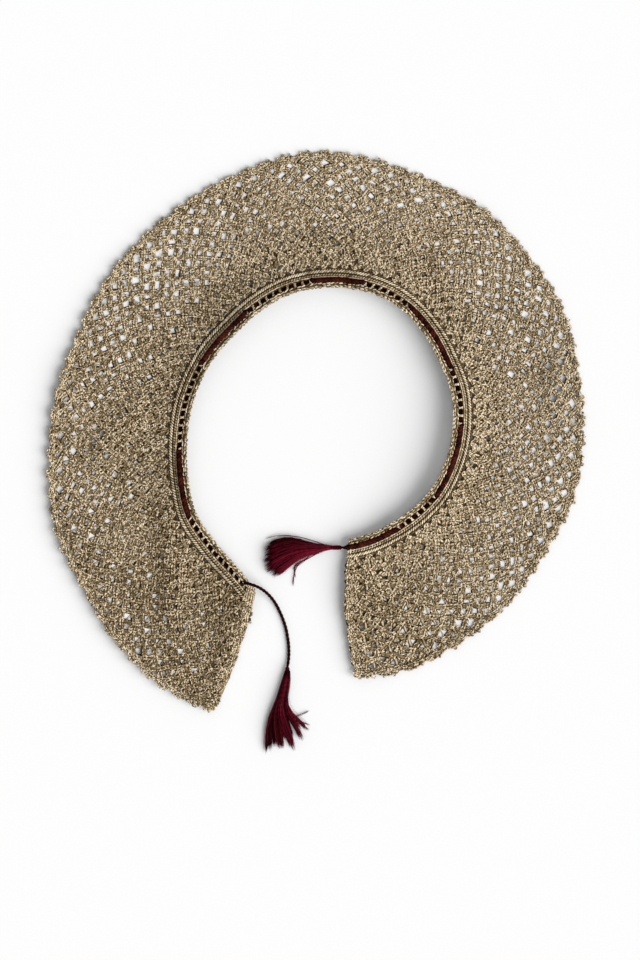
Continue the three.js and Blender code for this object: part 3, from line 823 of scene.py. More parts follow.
@dataclass
class Net:
    """The net: diagonal chains between knots, covered with picots that leave the middle of a mesh open."""

    loops: int = 85
    rows: int = 16
    row_growth: float = 0.94
    inner_edge: float = 11.4
    hem_overlap: float = 3.4
    seed: int = 7
    # slips of the knots along and across: size, change with the loop, change with the row
    slips_along: tuple = ((0.1, 1.7, 2.3), (0.08, 0.37, -0.9))
    slips_across: tuple = ((0.32, 2.9, 1.1), (0.22, 0.61, 1.9))
    # rates that shuffle the meshes' widths from loop to loop and from row to row
    shuffle: tuple = (25.98, 78.23, 4375.85)

    # how open the net is: at the neck, added over the depth and at the hem, and its limits
    neck_openness: float = 0.08
    depth_openness: float = 0.3
    depth_reach: float = 70
    hem_openness: float = 0.09
    hem_zone: float = 16
    openness_limits: tuple = (-0.5, 0.74)
    slacks: tuple = (
        Slack(45, 45, 26, 45, -0.22),
        Slack(86, 36, 13, 34, -0.2),
        Slack(118, 68, 12, 10, 0.3),
        Slack(134, 54, 18, 24, 0.35),
        Slack(188, 58, 14, 14, 0.2),
        Slack(232, 46, 14, 24, 0.25),
        Slack(258, 66, 16, 12, 0.3),
        Slack(258, 32, 34, 16, 0.15),
        Slack(281, 52, 16, 20, 0.3),
        Slack(306, 68, 12, 8, 0.4),
        Slack(341, 32, 13, 44, -0.7),
        Slack(22, 62, 7, 16, -0.4),
    )

    # sizes where the net is closed and where it is open
    fullness: tuple = (1.1, 0.84)
    underlay_width: tuple = (1.85, 1.2)
    picot_scale: tuple = (1.0, 0.82)
    beside_offset: tuple = (1.5, 1.15)
    # the first rows have shorter chains, with broader yarn under them
    closed_rows: int = 5
    closed_extra: float = 0.5
    inner_stitches: int = 3
    outer_stitches: int = 4
    stitch_height: float = 0.62
    picot_rise: float = 0.42
    sag: float = 0.35
    sway: float = 0.14
    bow: float = 0.4
    # how the bow of a chain shares out along the neckline and across it
    bow_ways: tuple = (0.83, 0.55)

    # turn, how much lighter the yarn is there: painted shade on the left front end, painted light on the
    # back and the right side, towards the key light
    side_light_by_turn: tuple = ((21, -0.12), (50, -0.07), (75, 0.0), (110, 0.01), (150, 0.06), (200, 0.1), (250, 0.09),
                     (300, 0.08), (325, 0.05), (347, -0.04))
    # painted light and shade: the chains under the picots are darker, the picots on them lighter, the
    # picots on the knots lightest
    shaded_chain_tone: float = 0.45
    lit_beside_tone: float = 0.55
    lit_knot_tone: float = 0.64
    beside_scale: float = 0.85
    knot_scale: float = 1.05

    # openness of a mesh, half width of the yarn that closes its middle
    closing: tuple = ((-0.5, 1.8), (-0.2, 1.0), (0, 1.0), (0.52, 0))
    closing_least: float = 0.3
    closing_spread: float = 0.55
    # the closing yarn's pale tone is painted light for the lit floor seen through the mesh
    closing_light: float = 0.5
    closing_height: float = 0.45
    closing_reach: tuple = (-0.5, 1.0, 3.5, 6.0, 7.5)
    closing_margin: float = 9

    chain: Braid = field(default_factory=lambda: Braid(
        width=3.0, thickness=0.4, overlap=0.26, uneven=0.14, slip=0.13, contrast=0.2))
    picot: Picot = field(default_factory=lambda: Picot(
        radius=0.8, thickness=0.38, tousle=0.24, contrast=0.2))
    underlay: Underlay = field(default_factory=Underlay)

    def row_across(self, form: CollarForm, share: np.ndarray, row: np.ndarray) -> np.ndarray:
        """Return how far from the neck edge a row lies."""
        end = form.depth(share) - self.hem_overlap
        return mix(self.inner_edge, end, (row / self.rows) ** self.row_growth)

    def openness(self, form: CollarForm, share: np.ndarray, across: np.ndarray) -> np.ndarray:
        """Find how open the net is.

        Args:
            form: The collar's surface.
            share: Shares of the neckline.
            across: Distances from the neck edge.

        Returns:
            Its openness there: 0 is closed, 1 is wide open, and less than 0 is drawn together.
        """
        turn = form.turn_at(share)
        over_depth = np.clip(across / self.depth_reach, 0, 1) ** 0.5
        near_hem = np.clip((across - form.depth(share) + self.hem_zone) / self.hem_zone, 0, 1)
        total = self.depth_openness * over_depth + self.neck_openness + self.hem_openness * near_hem
        for slack in self.slacks:
            distance = ((turn - slack.turn) / slack.turn_reach) ** 2
            distance = distance + ((across - slack.across) / slack.across_reach) ** 2
            total = total + slack.amount * np.exp(-distance)
        return np.clip(total, *self.openness_limits)

    def chance(self, loop: np.ndarray, row: np.ndarray) -> np.ndarray:
        """Return how much wider than usual the mesh round a place is, from -0.5 to 0.5."""
        loop_rate, row_rate, spread = self.shuffle
        return np.mod(np.sin(loop * loop_rate + row * row_rate) * spread, 1.0) - 0.5

    def knot(self, form: CollarForm, loop: np.ndarray, row: np.ndarray) -> tuple[np.ndarray, np.ndarray]:
        """Find knots, each slipped a little from its even place.

        Args:
            form: The collar's surface.
            loop: The knots' loops, counted from the left front end.
            row: Their rows, counted from the neck.

        Returns:
            Their shares of the neckline and their distances across.
        """
        along, slip = (
            sum(size * np.sin(loop * by_loop + row * by_row) for size, by_loop, by_row in waves)
            for waves in (self.slips_along, self.slips_across)
        )
        inner = (row > 0) & (row < self.rows)
        share = inside((loop + np.where(inner, along, 0)) / self.loops, 0.002)
        return share, self.row_across(form, share, row) + np.where(inner, slip, 0)

    def build(self, form: CollarForm, sector: Sector) -> tuple[YarnMesh, YarnMesh]:
        """Make one quarter of the net.

        Args:
            form: The collar's surface.
            sector: Which quarter.

        Returns:
            The mesh of its chains, and the mesh of the picots on them and the yarn under them.
        """
        rng = np.random.default_rng(self.seed + sector.value)
        name = sector.name.lower()
        chains = YarnMesh(f"net_{name}")
        picots = YarnMesh(f"picots_{name}")
        quarter = self.loops / len(Sector)
        for row in range(self.rows):
            for way in (-1, 1):
                first = np.arange(0, self.loops + 1) + 0.5 * (row % 2)
                last = first + 0.5 * way
                whole = (first <= self.loops) & (last >= 0) & (last <= self.loops)
                here = (first >= sector.value * quarter) & (first < (sector.value + 1) * quarter)
                if sector is Sector.RIGHT_FRONT:
                    here = here | (first == self.loops)
                kept = whole & here
                self._lay_row(form, chains, picots, first[kept], last[kept], row, way, rng)
        return chains, picots

    def _lay_row(self, form: CollarForm, chains: YarnMesh, picots: YarnMesh, first: np.ndarray,
                 last: np.ndarray, row: int, way: int, rng: np.random.Generator) -> None:
        """Lay the chains of one row that lean one way, with what lies on and under them.

        Args:
            form: The collar's surface.
            chains: The mesh that takes the chains.
            picots: The mesh that takes the picots and the yarn under the chains.
            first: Loops where the chains start.
            last: Loops where they end.
            row: The row that they start from.
            way: The way they lean, 1 or -1.
            rng: Where the unevenness comes from.
        """
        count = len(first)
        start = self.knot(form, first, np.full(count, row))
        end = self.knot(form, last, np.full(count, row + 1))
        stitches = self.inner_stitches if row < self.closed_rows else self.outer_stitches
        t = np.linspace(0, 1, stitches + 1)[None, :]
        share = mix(start[0][:, None], end[0][:, None], t)
        across = mix(start[1][:, None], end[1][:, None], t) + self.sag * np.sin(np.pi * t)
        # the chain gives way to the wider of the two meshes beside it
        below, above = self.chance(first, row + 1), self.chance(first + 0.5 * way, row)
        bow = (self.bow * (below - above))[:, None] * np.sin(np.pi * t)
        share = inside(share + self.bow_ways[0] * way * bow / form.length, 0.001)
        across = across - self.bow_ways[1] * bow
        lifts = self.sway * np.sin(2 * np.pi * t) * way + rng.normal(0, 0.05, share.shape)
        points, normals = form.above(share, across, self.stitch_height + lifts)
        openness = self.openness(form, share[:, 1], across[:, 1])
        # painted light and shade round the collar, lighter towards the key light
        shade = np.interp(form.turn_at(share[:, 1]), *np.array(self.side_light_by_turn).T)
        fullness = mix(*self.fullness, openness) * rng.normal(1, 0.08, count)
        self.chain.lay(chains, points, normals, rng, fullness, self.shaded_chain_tone + shade)
        width = mix(*self.underlay_width, openness) * rng.normal(1, 0.1, count)
        width = width + self.closed_extra * max(0.0, 1 - row / self.closed_rows)
        self.underlay.lay(picots, points, normals, width, shade)
        scale = mix(*self.picot_scale, openness)
        beside = (rng.choice((-1, 1), count) * mix(*self.beside_offset, openness))[:, None]
        self._lay_picots(picots, points, normals, rng.uniform(0.3, 0.7, count), beside,
                         scale * self.beside_scale, self.lit_beside_tone + shade, rng)
        if way > 0:
            self._lay_picots(picots, points, normals, rng.normal(0.02, 0.03, count), np.zeros((count, 1)),
                             scale * self.knot_scale, self.lit_knot_tone + shade, rng)
            self._close(form, picots, start, openness + self.closing_spread * below, shade)

    def _close(self, form: CollarForm, yarn: YarnMesh, knots: tuple[np.ndarray, np.ndarray],
               openness: np.ndarray, shade: np.ndarray) -> None:
        """Draw yarn across the middle of the meshes below knots, broader where the net is closer; its pale
        tone is painted light for the lit floor seen through the mesh.

        Args:
            form: The collar's surface.
            yarn: The mesh that takes the yarn.
            knots: Shares of the neckline of the knots, and their distances across.
            openness: How open the mesh below each knot is.
            shade: How much lighter the yarn is there.
        """
        width = np.interp(openness, *np.array(self.closing).T)
        kept = (width > self.closing_least) & (knots[1] < form.depth(knots[0]) - self.closing_margin)
        if kept.any():
            reach = np.array(self.closing_reach)[None, :]
            share = knots[0][kept, None] + np.zeros_like(reach)
            points, normals = form.above(share, knots[1][kept, None] + reach, self.closing_height)
            # painted light: the closing yarn is lighter than the rest
            self.underlay.lay(yarn, points, normals, width[kept], shade[kept] + self.closing_light)

    def _lay_picots(self, yarn: YarnMesh, points: np.ndarray, normals: np.ndarray, place: np.ndarray,
                    offset: np.ndarray, scale: np.ndarray, brightness: np.ndarray,
                    rng: np.random.Generator) -> None:
        """Lay one picot on each chain.

        Args:
            yarn: The mesh that takes them.
            points: The chains' points.
            normals: The fabric's normals there.
            place: Where along each chain the picot lies, from 0 to 1.
            offset: How far to one side of it.
            scale: Size of the picots as a multiple of the usual one.
            brightness: Mean lightness of each picot's yarn.
            rng: Where the unevenness comes from.
        """
        steps = points.shape[1] - 1
        at = np.clip(place, 0, 1) * steps
        low = np.clip(at.astype(int), 0, steps - 1)
        each = np.arange(len(points))
        here, following, normal = points[each, low], points[each, low + 1], normals[each, low]
        along = unit(following - here)
        side = np.cross(normal, along)
        offset = offset * rng.normal(1, 0.15, (len(points), 1))
        centre = mix(here, following, (at - low)[:, None]) + side * offset
        centre = centre + normal * rng.normal(self.picot_rise, 0.1, (len(points), 1))
        self.picot.lay(yarn, centre, along, normal, rng, scale, brightness)


@dataclass
class FrontEdges:
    """The turning chains down both front ends of the net."""

    stitches: int = 54
    picots: int = 30
    # shares of the neckline: how far in the chain lies, how far further in the picots
    inset: float = 0.0035
    picot_inset: float = 0.0045
    # waves of the chain along the neckline: size, rate
    waves: tuple = ((0.0007, 38), (0.0004, 91))
    # where the chain and the picots start and stop: from the neck edge, from the hem
    chain_ends: tuple = (0.9, 1.4)
    picot_ends: tuple = (10.5, 2.5)
    chain_height: float = 0.95
    picot_height: float = 1.15
    picot_scale: float = 1.05
    seed: int = 23
    chain: Braid = field(default_factory=lambda: Braid(width=2.1, thickness=0.38))
    picot: Picot = field(default_factory=Picot)
    underlay: Underlay = field(default_factory=Underlay)

    def build(self, form: CollarForm, left: YarnMesh, right: YarnMesh) -> None:
        """Lay the chains and a few picots along both ends.

        Args:
            form: The collar's surface.
            left: The mesh that takes the left end's yarn.
            right: The mesh that takes the right end's yarn.
        """
        rng = np.random.default_rng(self.seed)
        t = np.linspace(0, 1, self.stitches + 1)
        wave = sum(size * np.sin(t * rate) for size, rate in self.waves)
        for share, inwards, yarn in ((self.inset, 1, left), (1 - self.inset, -1, right)):
            depth = float(form.depth(np.array(share)))
            across = mix(self.chain_ends[0], depth - self.chain_ends[1], t)
            points, normals = form.above(share + wave, across, self.chain_height)
            self.chain.lay(yarn, points[None], normals[None], rng)
            self.underlay.lay(yarn, points[None], normals[None])
            across = np.linspace(self.picot_ends[0], depth - self.picot_ends[1], self.picots)
            across = across + rng.normal(0, 0.3, self.picots)
            drift = share + inwards * rng.normal(self.picot_inset, 0.0014, self.picots)
            centre, normal = form.above(drift, across, self.picot_height)
            along = np.tile(unit(points[-1] - points[0]), (self.picots, 1))
            self.picot.lay(yarn, centre, along, normal, rng, self.picot_scale)


@dataclass(frozen=True)
class Rib:
    """A row of short slanted strands along the neckband, each through four points."""

    across: tuple
    heights: tuple
    turns: tuple
    thickness: float
    slip: float
    tone: float
    contrast: float


@dataclass
class Neckband:
    """The rim, the beading row's posts, and the thin line, the rungs and the rope outside it."""

    eyelets: int = 104
    eyelet_share: float = 0.55
    seed: int = 11

    # the solid band: across and height of its upper face, across of its underside, depth of its scallops
    upper_face: tuple = ((0, 1.3), (1.5, 2.0), (3.0, 1.2), (5.6, 1.2), (6.7, 2.3), (7.8, 1.3), (8.8, 2.2),
                         (9.85, 1.4))
    under_face: tuple = (0, 3.0, 5.6, 9.85)
    rim_scallop: float = 0.4

    rim_pitch: float = 2.3
    rim_across: float = 1.75
    rim_height: float = 1.05
    rim_tone: float = 0.55
    # small arches along the neck edge, in two rows: where their points lie along, across and up
    arch_places: tuple = (-1, -0.6, 0.1, 0.8)
    arch_rows: tuple = ((0.95, 0.3, 0.05, 0.5), (0.75, 0.35, 0.7, 1.5))
    arch_heights: tuple = (0.6, 0.85, 0.85, 0.55)
    arch_length: float = 0.62
    arch_thickness: float = 0.38
    arch_tone: float = 0.46
    arch_contrast: float = 0.32

    # posts between the eyelets: where their points lie across and up
    post_across: tuple = (2.7, 3.4, 4.3, 5.2, 6.0)
    post_heights: tuple = (0.6, 0.86, 0.95, 0.86, 0.7)
    # for each strand of a post, its points' drift along the band and its rise
    post_strands: tuple = (
        ((-0.5, -0.42, 0.1, 0.42, 0.5), 0.0),
        ((0.5, 0.42, -0.1, -0.42, -0.5), 0.14),
        ((-0.1, 0.05, -0.35, 0.0, 0.2), -0.2),
    )
    post_thickness: float = 0.36
    post_tone: float = 0.52
    post_contrast: float = 0.28
    post_inset: float = 0.2

    # chains that cover the left end: how far from it they lie, and where they start and stop across
    end_cover: tuple = (1.4, 2.9, 4.4, 5.9)
    end_across: tuple = (0.8, 10.8)
    end_height: float = 1.3
    # the first eyelets are filled with a dark strand of painted shade as far as this, counted in eyelets
    shaded_eyelets: float = 3.2

    rib_pitch: float = 1.42
    ribs: tuple = (
        Rib((6.0, 6.2, 6.24, 6.4), (1.0, 1.28, 1.28, 1.0), (-0.8, -0.35, 0.35, 0.8),
            thickness=0.4, slip=0.05, tone=0.55, contrast=0.2),
        Rib((6.5, 6.95, 7.6, 8.1), (0.75, 1.05, 1.05, 0.75), (-0.4, -0.2, 0.25, 0.45),
            thickness=0.35, slip=0.06, tone=0.5, contrast=0.18),
        Rib((8.3, 8.8, 9.85, 10.35), (0.95, 1.5, 1.5, 0.95), (-1.0, -0.45, 0.45, 1.0),
            thickness=0.44, slip=0.06, tone=0.62, contrast=0.18),
    )
    # yarn under the ribs: across, half width, how much lighter than usual
    backings: tuple = ((2.8, 0.45, 0), (5.75, 0.45, 0), (7.5, 1.3, 0.25), (9.4, 1.0, 0), (10.95, 0.8, 0))
    backing_height: float = 0.62

    rim_chain: Braid = field(default_factory=lambda: Braid(
        width=2.9, thickness=0.42, overlap=0.3, uneven=0.16, slip=0.18, contrast=0.34))
    end_chain: Braid = field(default_factory=lambda: Braid(width=1.9, thickness=0.36))
    # the backing's dark tone is painted shade under the strands on top of it
    backing: Underlay = field(default_factory=lambda: Underlay(half_width=0.75, sink=0.3, tone=-0.35))

    def build(self, form: CollarForm) -> YarnMesh:
        """Make the band's yarn.

        Args:
            form: The collar's surface.

        Returns:
            The mesh of all its strands.
        """
        rng = np.random.default_rng(self.seed)
        yarn = YarnMesh("neckband_yarn")
        self._rim(form, yarn, rng)
        self._posts(form, yarn, rng)
        self._left_end(form, yarn, rng)
        self._ribs(form, yarn, rng)
        return yarn

    def _back(self, form: CollarForm, yarn: YarnMesh, place: tuple, half_width: float,
              shade: float) -> None:
        """Lay one strand of backing.

        Args:
            form: The collar's surface.
            yarn: The mesh that takes it.
            place: Its shares of the neckline, distance across and height.
            half_width: Its half width.
            shade: How much lighter it is than usual.
        """
        points, normals = form.above(*place)
        self.backing.lay(yarn, points[None], normals[None], np.array([half_width]), shade)

    def _rim(self, form: CollarForm, yarn: YarnMesh, rng: np.random.Generator) -> None:
        """Lay the rim: a broad chain over its backing, and small arches along the neck edge.

        Args:
            form: The collar's surface.
            yarn: The mesh that takes the strands.
            rng: Where the unevenness comes from.
        """
        count = round(form.length * 0.96 / self.rim_pitch)
        share = np.linspace(0.002, 0.998, count + 1)
        wave = 0.1 * np.sin(share * 2 * np.pi * self.eyelets) + rng.normal(0, 0.05, len(share))
        place = (share, self.rim_across + wave, self.rim_height)
        points, normals = form.above(*place)
        self.rim_chain.lay(yarn, points[None], normals[None], rng, 1.0, self.rim_tone)
        self._back(form, yarn, place, self.rim_chain.width * 0.42, 0)
        middle = (np.arange(count) + 0.5) / count
        share = middle[:, None] + self.arch_length / count * np.array(self.arch_places)[None, :]
        share = inside(share + rng.normal(0, 0.06, share.shape) / count, 0.001)
        for reach in self.arch_rows:
            across = np.array(reach)[None, :] + rng.normal(0, 0.12, share.shape)
            line, normals = form.above(share, across, np.array(self.arch_heights)[None, :])
            tone = np.clip(self.arch_tone + self.arch_contrast * rng.standard_normal(len(line)), 0, 1)
            yarn.add(line, normals[:, 1], self.arch_thickness, self.arch_thickness, tone)

    def _posts(self, form: CollarForm, yarn: YarnMesh, rng: np.random.Generator) -> None:
        """Lay the posts between the eyelets, each of three lumpy strands.

        Args:
            form: The collar's surface.
            yarn: The mesh that takes the strands.
            rng: Where the unevenness comes from.
        """
        at = np.arange(self.eyelets + 1) / self.eyelets
        at[0], at[-1] = self.post_inset / self.eyelets, 1 - self.post_inset / self.eyelets
        across, heights = np.array(self.post_across)[None, :], np.array(self.post_heights)[None, :]
        shape = (len(at), across.size)
        for drift, rise in self.post_strands:
            slip = np.array(drift)[None, :] + rng.normal(0, 0.1, shape)
            share = inside(at[:, None] + slip / form.length, 0.0005)
            line, normals = form.above(share, across + rng.normal(0, 0.08, shape), heights + rise)
            tone = np.clip(self.post_tone + self.post_contrast * rng.standard_normal(len(at)), 0, 1)
            yarn.add(line, normals[:, 1], self.post_thickness, self.post_thickness, tone)

    def _left_end(self, form: CollarForm, yarn: YarnMesh, rng: np.random.Generator) -> None:
        """Cover the band's left end with chains from neck to net, and fill the first eyelets with a dark
        strand of painted shade.

        Args:
            form: The collar's surface.
            yarn: The mesh that takes the strands.
            rng: Where the unevenness comes from.
        """
        steps = 8
        for along in self.end_cover:
            share = np.full(steps, along / form.length)
            place = (share, np.linspace(*self.end_across, steps), self.end_height)
            points, normals = form.above(*place)
            self.end_chain.lay(yarn, points[None], normals[None], rng)
            self._back(form, yarn, place, 1.0, 0.3)
        # painted shade: a dark strand in the first eyelets
        share = np.linspace(self.end_cover[-1] / form.length, self.shaded_eyelets / self.eyelets, steps)
        self._back(form, yarn, (share, form.beading_across, 0.2), 1.5, -0.1)

    def _ribs(self, form: CollarForm, yarn: YarnMesh, rng: np.random.Generator) -> None:
        """Lay the thin line beside the eyelets, the low rungs outside it, and the rope.

        Args:
            form: The collar's surface.
            yarn: The mesh that takes the strands.
            rng: Where the unevenness comes from.
        """
        count = round(form.length / self.rib_pitch)
        step = 1 / count
        at = (np.arange(count) + 0.5) * step
        for rib in self.ribs:
            share = inside(at[:, None] + step * np.array(rib.turns)[None, :], 0.0005)
            across = np.array(rib.across)[None, :] + rng.normal(0, rib.slip, share.shape)
            line, normals = form.above(share, across, np.array(rib.heights)[None, :])
            tone = np.clip(rib.tone + rib.contrast * rng.standard_normal(count), 0, 1)
            yarn.add(line, normals[:, 1], rib.thickness, rib.thickness, tone)
        share = np.linspace(0.001, 0.999, count // 2)
        for across, half_width, shade in self.backings:
            self._back(form, yarn, (share, across, self.backing_height), half_width, shade)


@dataclass
class HemEdging:
    """The hem: a ridge chain, and scalloped arches with small picots on them and inside them."""

    scallops: int = 78
    stitches: int = 8
    seed: int = 31
    ridge_inset: float = 3.1
    ridge_wave: float = 0.5
    ridge_height: float = 0.85
    arch: float = 2.3
    arch_inset: float = 1.3
    arch_height: float = 0.8
    # unevenness of the valleys between scallops: size, change with the scallop
    valleys: tuple = ((0.35, 2.4), (0.25, 5.3))
    # picots: place along the scallop, distance inside the hem, height
    spots: tuple = ((0.12, 1.5, 1.0), (0.34, 0.7, 1.1), (0.42, 1.3, 1.3), (0.66, 0.6, 1.0),
                    (0.58, 2.6, 1.25), (0.84, 2.4, 1.25))
    picot_inset: float = 0.1
    picot_tone: float = 0.44
    chain: Braid = field(default_factory=lambda: Braid(width=1.9, thickness=0.34, slip=0.14, contrast=0.3))
    picot: Picot = field(default_factory=lambda: Picot(radius=0.84, thickness=0.42, contrast=0.3))
    # the underlay's dark tone is painted shade under the edging's chains
    underlay: Underlay = field(default_factory=lambda: Underlay(half_width=0.8, tone=-0.25))

    def build(self, form: CollarForm) -> YarnMesh:
        """Make the edging's yarn.

        Args:
            form: The collar's surface.

        Returns:
            The mesh of all its strands.
        """
        rng = np.random.default_rng(self.seed)
        yarn = YarnMesh("hem_edging_yarn")
        share = np.linspace(0.002, 0.998, self.stitches * self.scallops + 1)
        wave = self.ridge_wave * np.sin(share * 2 * np.pi * self.scallops + 1.0)
        across = form.depth(share) - self.ridge_inset + (wave + rng.normal(0, 0.1, len(share)))
        points, normals = form.above(share, across, self.ridge_height)
        self.chain.lay(yarn, points[None], normals[None], rng)
        self.underlay.lay(yarn, points[None], normals[None])
        self._arches(form, yarn, rng)
        self._picots(form, yarn, rng)
        return yarn

    def uneven(self, scallop: np.ndarray) -> np.ndarray:
        """Return how deep the valley before a scallop is, as a multiple of the usual one."""
        return 1 + sum(size * np.sin(scallop * rate) for size, rate in self.valleys)

    def _arches(self, form: CollarForm, yarn: YarnMesh, rng: np.random.Generator) -> None:
        """Lay the outer chain, which bows out over each scallop.

        Args:
            form: The collar's surface.
            yarn: The mesh that takes the strands.
            rng: Where the unevenness comes from.
        """
        number = np.arange(self.scallops)[:, None]
        t = np.linspace(0, 1, self.stitches + 1)[None, :]
        share = inside((number + t) / self.scallops, 0.002)
        valley = self.arch * mix(self.uneven(number), self.uneven(number + 1), t)
        bow = np.abs(np.sin(np.pi * t)) ** 0.5
        across = form.depth(share) - self.arch_inset - valley * (1 - bow)
        points, normals = form.above(share, across, self.arch_height)
        self.chain.lay(yarn, points, normals, rng)
        self.underlay.lay(yarn, points, normals)

    def _picots(self, form: CollarForm, yarn: YarnMesh, rng: np.random.Generator) -> None:
        """Lay the picots of every scallop, each a little off its even place.

        Args:
            form: The collar's surface.
            yarn: The mesh that takes the strands.
            rng: Where the unevenness comes from.
        """
        number = np.arange(self.scallops)
        ahead = 0.0005
        for spot, inset, height in self.spots:
            share = inside((number + spot + rng.normal(0, 0.04, self.scallops)) / self.scallops, 0.002)
            across = form.depth(share) - (inset + rng.normal(self.picot_inset, 0.26, self.scallops))
            centre, normal = form.above(share, across, height)
            beyond = form.above(share + ahead, across, height)[0]
            scale = rng.normal(1, 0.12, self.scallops)
            self.picot.lay(yarn, centre, unit(beyond - centre), normal, rng, scale, self.picot_tone)


@dataclass
class Drawstring:
    """The twisted cord: its route in and out of the beading row, its two free ends, and its two plies."""

    radius: float = 0.95
    clearance: float = 0.5
    pass_length: float = 7.2
    run_step: float = 9.5
    plumb_onset: float = 4
    beading_wall: float = 1.2
    eyelets: int = 104
    over_tone: float = 0.5
    # painted shade: the cord is darker where it runs under the band
    shaded_under_tone: float = 0.12
    free_tone: float = 0.26
    seed: int = 17
    pressed: float = 0.72
    spread: float = 1.68
    flatness: float = 0.8
    twist_pitch: float = 4.4
    ply_radius: float = 0.6
    sample_step: float = 0.45
    # the band's grip on the cord: how far in from both free ends, and how soon it takes hold
    grip_ends: tuple = (6, 4)
    grip_onsets: tuple = (4, 3)
    # lumps along the cord: their step, and how much they change its width and its lightness
    lump_step: float = 1.3
    lump_width: float = 0.1
    lump_tone: float = 0.2
    # turns where the cord passes through the band, and the side it then runs on
    weave: tuple = (
        (26.2, Side.UNDER), (54.8, Side.OVER), (79, Side.UNDER), (113.4, Side.OVER),
        (144.6, Side.UNDER), (175.1, Side.OVER), (197.7, Side.UNDER), (217.6, Side.OVER),
        (249.2, Side.UNDER), (271.2, Side.OVER), (304.5, Side.UNDER), (324.5, Side.OVER),
    )
    left_free_end: tuple = (
        (-19.0, -134.5, 1.6), (-18.4, -130.6, 1.2), (-18.2, -126.3, 1.0), (-18.4, -122.0, 1.0),
        (-19.0, -117.7, 1.0), (-19.9, -113.2, 1.0), (-21.4, -108.6, 1.0), (-23.4, -103.9, 1.1),
        (-25.8, -99.4, 1.6), (-28.9, -95.4, 3.0), (-32.5, -92.2, 5.2), (-36.4, -90.0, 7.2),
        (-40.3, -88.7, 7.5),
    )
    right_free_end: tuple = ((13.2, -68.9, 5.9), (11.15, -68.95, 4.4))

    def woven(self, form: CollarForm, length: float, level: float) -> np.ndarray:
        """Find a point of the woven cord, pressed a little into the beading row.

        Args:
            form: The collar's surface.
            length: How far along the neckline it lies.
            level: How far over the middle of the wall, before it is pressed in.

        Returns:
            The point.
        """
        away = self.beading_wall / 2 + self.clearance + self.radius
        share, across = length / form.length, form.beading_across
        height = self.beading_wall / 2 + level * self.pressed
        raised = form.lay(share, across, height)[0] - form.lay(share, across, 0)[0]
        drift = math.hypot(raised[0], raised[1]) * np.sign(height)
        settled = abs(level / away) ** self.plumb_onset
        return form.lay(share, across - drift * settled, height)[0]

    def route(self, form: CollarForm) -> tuple[np.ndarray, np.ndarray, int]:
        """Work out the cord's route from the left tassel to the right one.

        Args:
            form: The collar's surface.

        Returns:
            The route's points, the cord's lightness at each, darker as painted shade where it runs under
            the band, and how many lie on the left free end.
        """
        away = self.beading_wall / 2 + self.clearance + self.radius
        points = [np.array(point) for point in self.left_free_end]
        tones = [self.free_tone] * len(points)
        middles = []
        for turn, _ in self.weave:
            first_eyelet = round(form.share_at(turn) * self.eyelets) - 1
            middles.append((first_eyelet + 1) / self.eyelets * form.length)
        side = away
        for i, (_, next_side) in enumerate(self.weave):
            next_level = away * next_side.value
            # the free end comes straight over the rim and in under the next eyelets
            for step in ((3,) if i == 0 else (-3, -1, 1, 3)):
                level = side if step < 0 else next_level
                level = level / 2 if abs(step) == 1 else level
                points.append(self.woven(form, middles[i] + step * self.pass_length / 6, level))
                # painted shade grows as the cord sinks under the band
                tones.append(mix(self.shaded_under_tone, self.over_tone, (level / away + 1) / 2))
            side = next_level
            start = middles[i] + self.pass_length / 2
            is_last = i == len(self.weave) - 1
            end = form.length if is_last else middles[i + 1] - self.pass_length / 2
            steps = max(1, round((end - start) / self.run_step))
            for s in range(1, steps + (1 if is_last else 0)):
                points.append(self.woven(form, start + (end - start) * s / steps, side))
                tones.append(self.over_tone if side > 0 else self.shaded_under_tone)
        points.extend(np.array(point) for point in self.right_free_end)
        tones.extend([self.free_tone] * len(self.right_free_end))
        return np.array(points), np.array(tones), len(self.left_free_end)

    def build(self, form: CollarForm) -> tuple[YarnMesh, np.ndarray]:
        """Twist two plies round the route, spread flat where the band grips them.

        Args:
            form: The collar's surface.

        Returns:
            The mesh of the two plies and the line that they follow.
        """
        rng = np.random.default_rng(self.seed)
        route, tones, free_points = self.route(form)
        rough = np.linalg.norm(np.diff(route, axis=0), axis=1)
        line = smooth_curve(route, round(rough.sum() / self.sample_step))
        length = np.linalg.norm(np.diff(line, axis=0), axis=1).sum()
        at = np.linspace(0, length, len(line))
        grip_start, grip_end = rough[:free_points].sum() + self.grip_ends[0], length - self.grip_ends[1]
        onset, release = self.grip_onsets
        gripped = np.interp(at, [grip_start - onset, grip_start, grip_end, grip_end + release],
                            [0, 1, 1, 0])
        along = unit(np.gradient(line, axis=0))
        side = unit(np.cross(np.array([0.0, 0.0, 1.0]), along))
        up = np.cross(along, side)
        lumps = np.arange(0, length + 2, self.lump_step)
        lumpy = np.interp(at, lumps, rng.normal(0, 1, len(lumps)))
        wide = mix(1.0, self.spread, gripped) * (1 + self.lump_width * gripped * lumpy)
        high = mix(1.0, self.flatness, gripped)
        angle = 2 * np.pi * at / self.twist_pitch
        tone = np.interp(at, np.concatenate([[0], np.cumsum(rough)]), tones)
        uneven = np.interp(at, lumps, rng.normal(0, self.lump_tone, len(lumps)))
        yarn = YarnMesh("drawstring_cord", sides=7)
        for phase in (0, np.pi):
            out = (side * (np.cos(angle + phase) * wide)[:, None]
                   + up * (np.sin(angle + phase) * high)[:, None])
            ply = line + out * (self.radius - self.ply_radius)
            yarn.add(ply[None], up[None, 1:-1], (self.ply_radius * wide)[None, 1:-1],
                     (self.ply_radius * high)[None, 1:-1], (tone + uneven * gripped)[None, 1:-1], low=1.1)
        return yarn, line


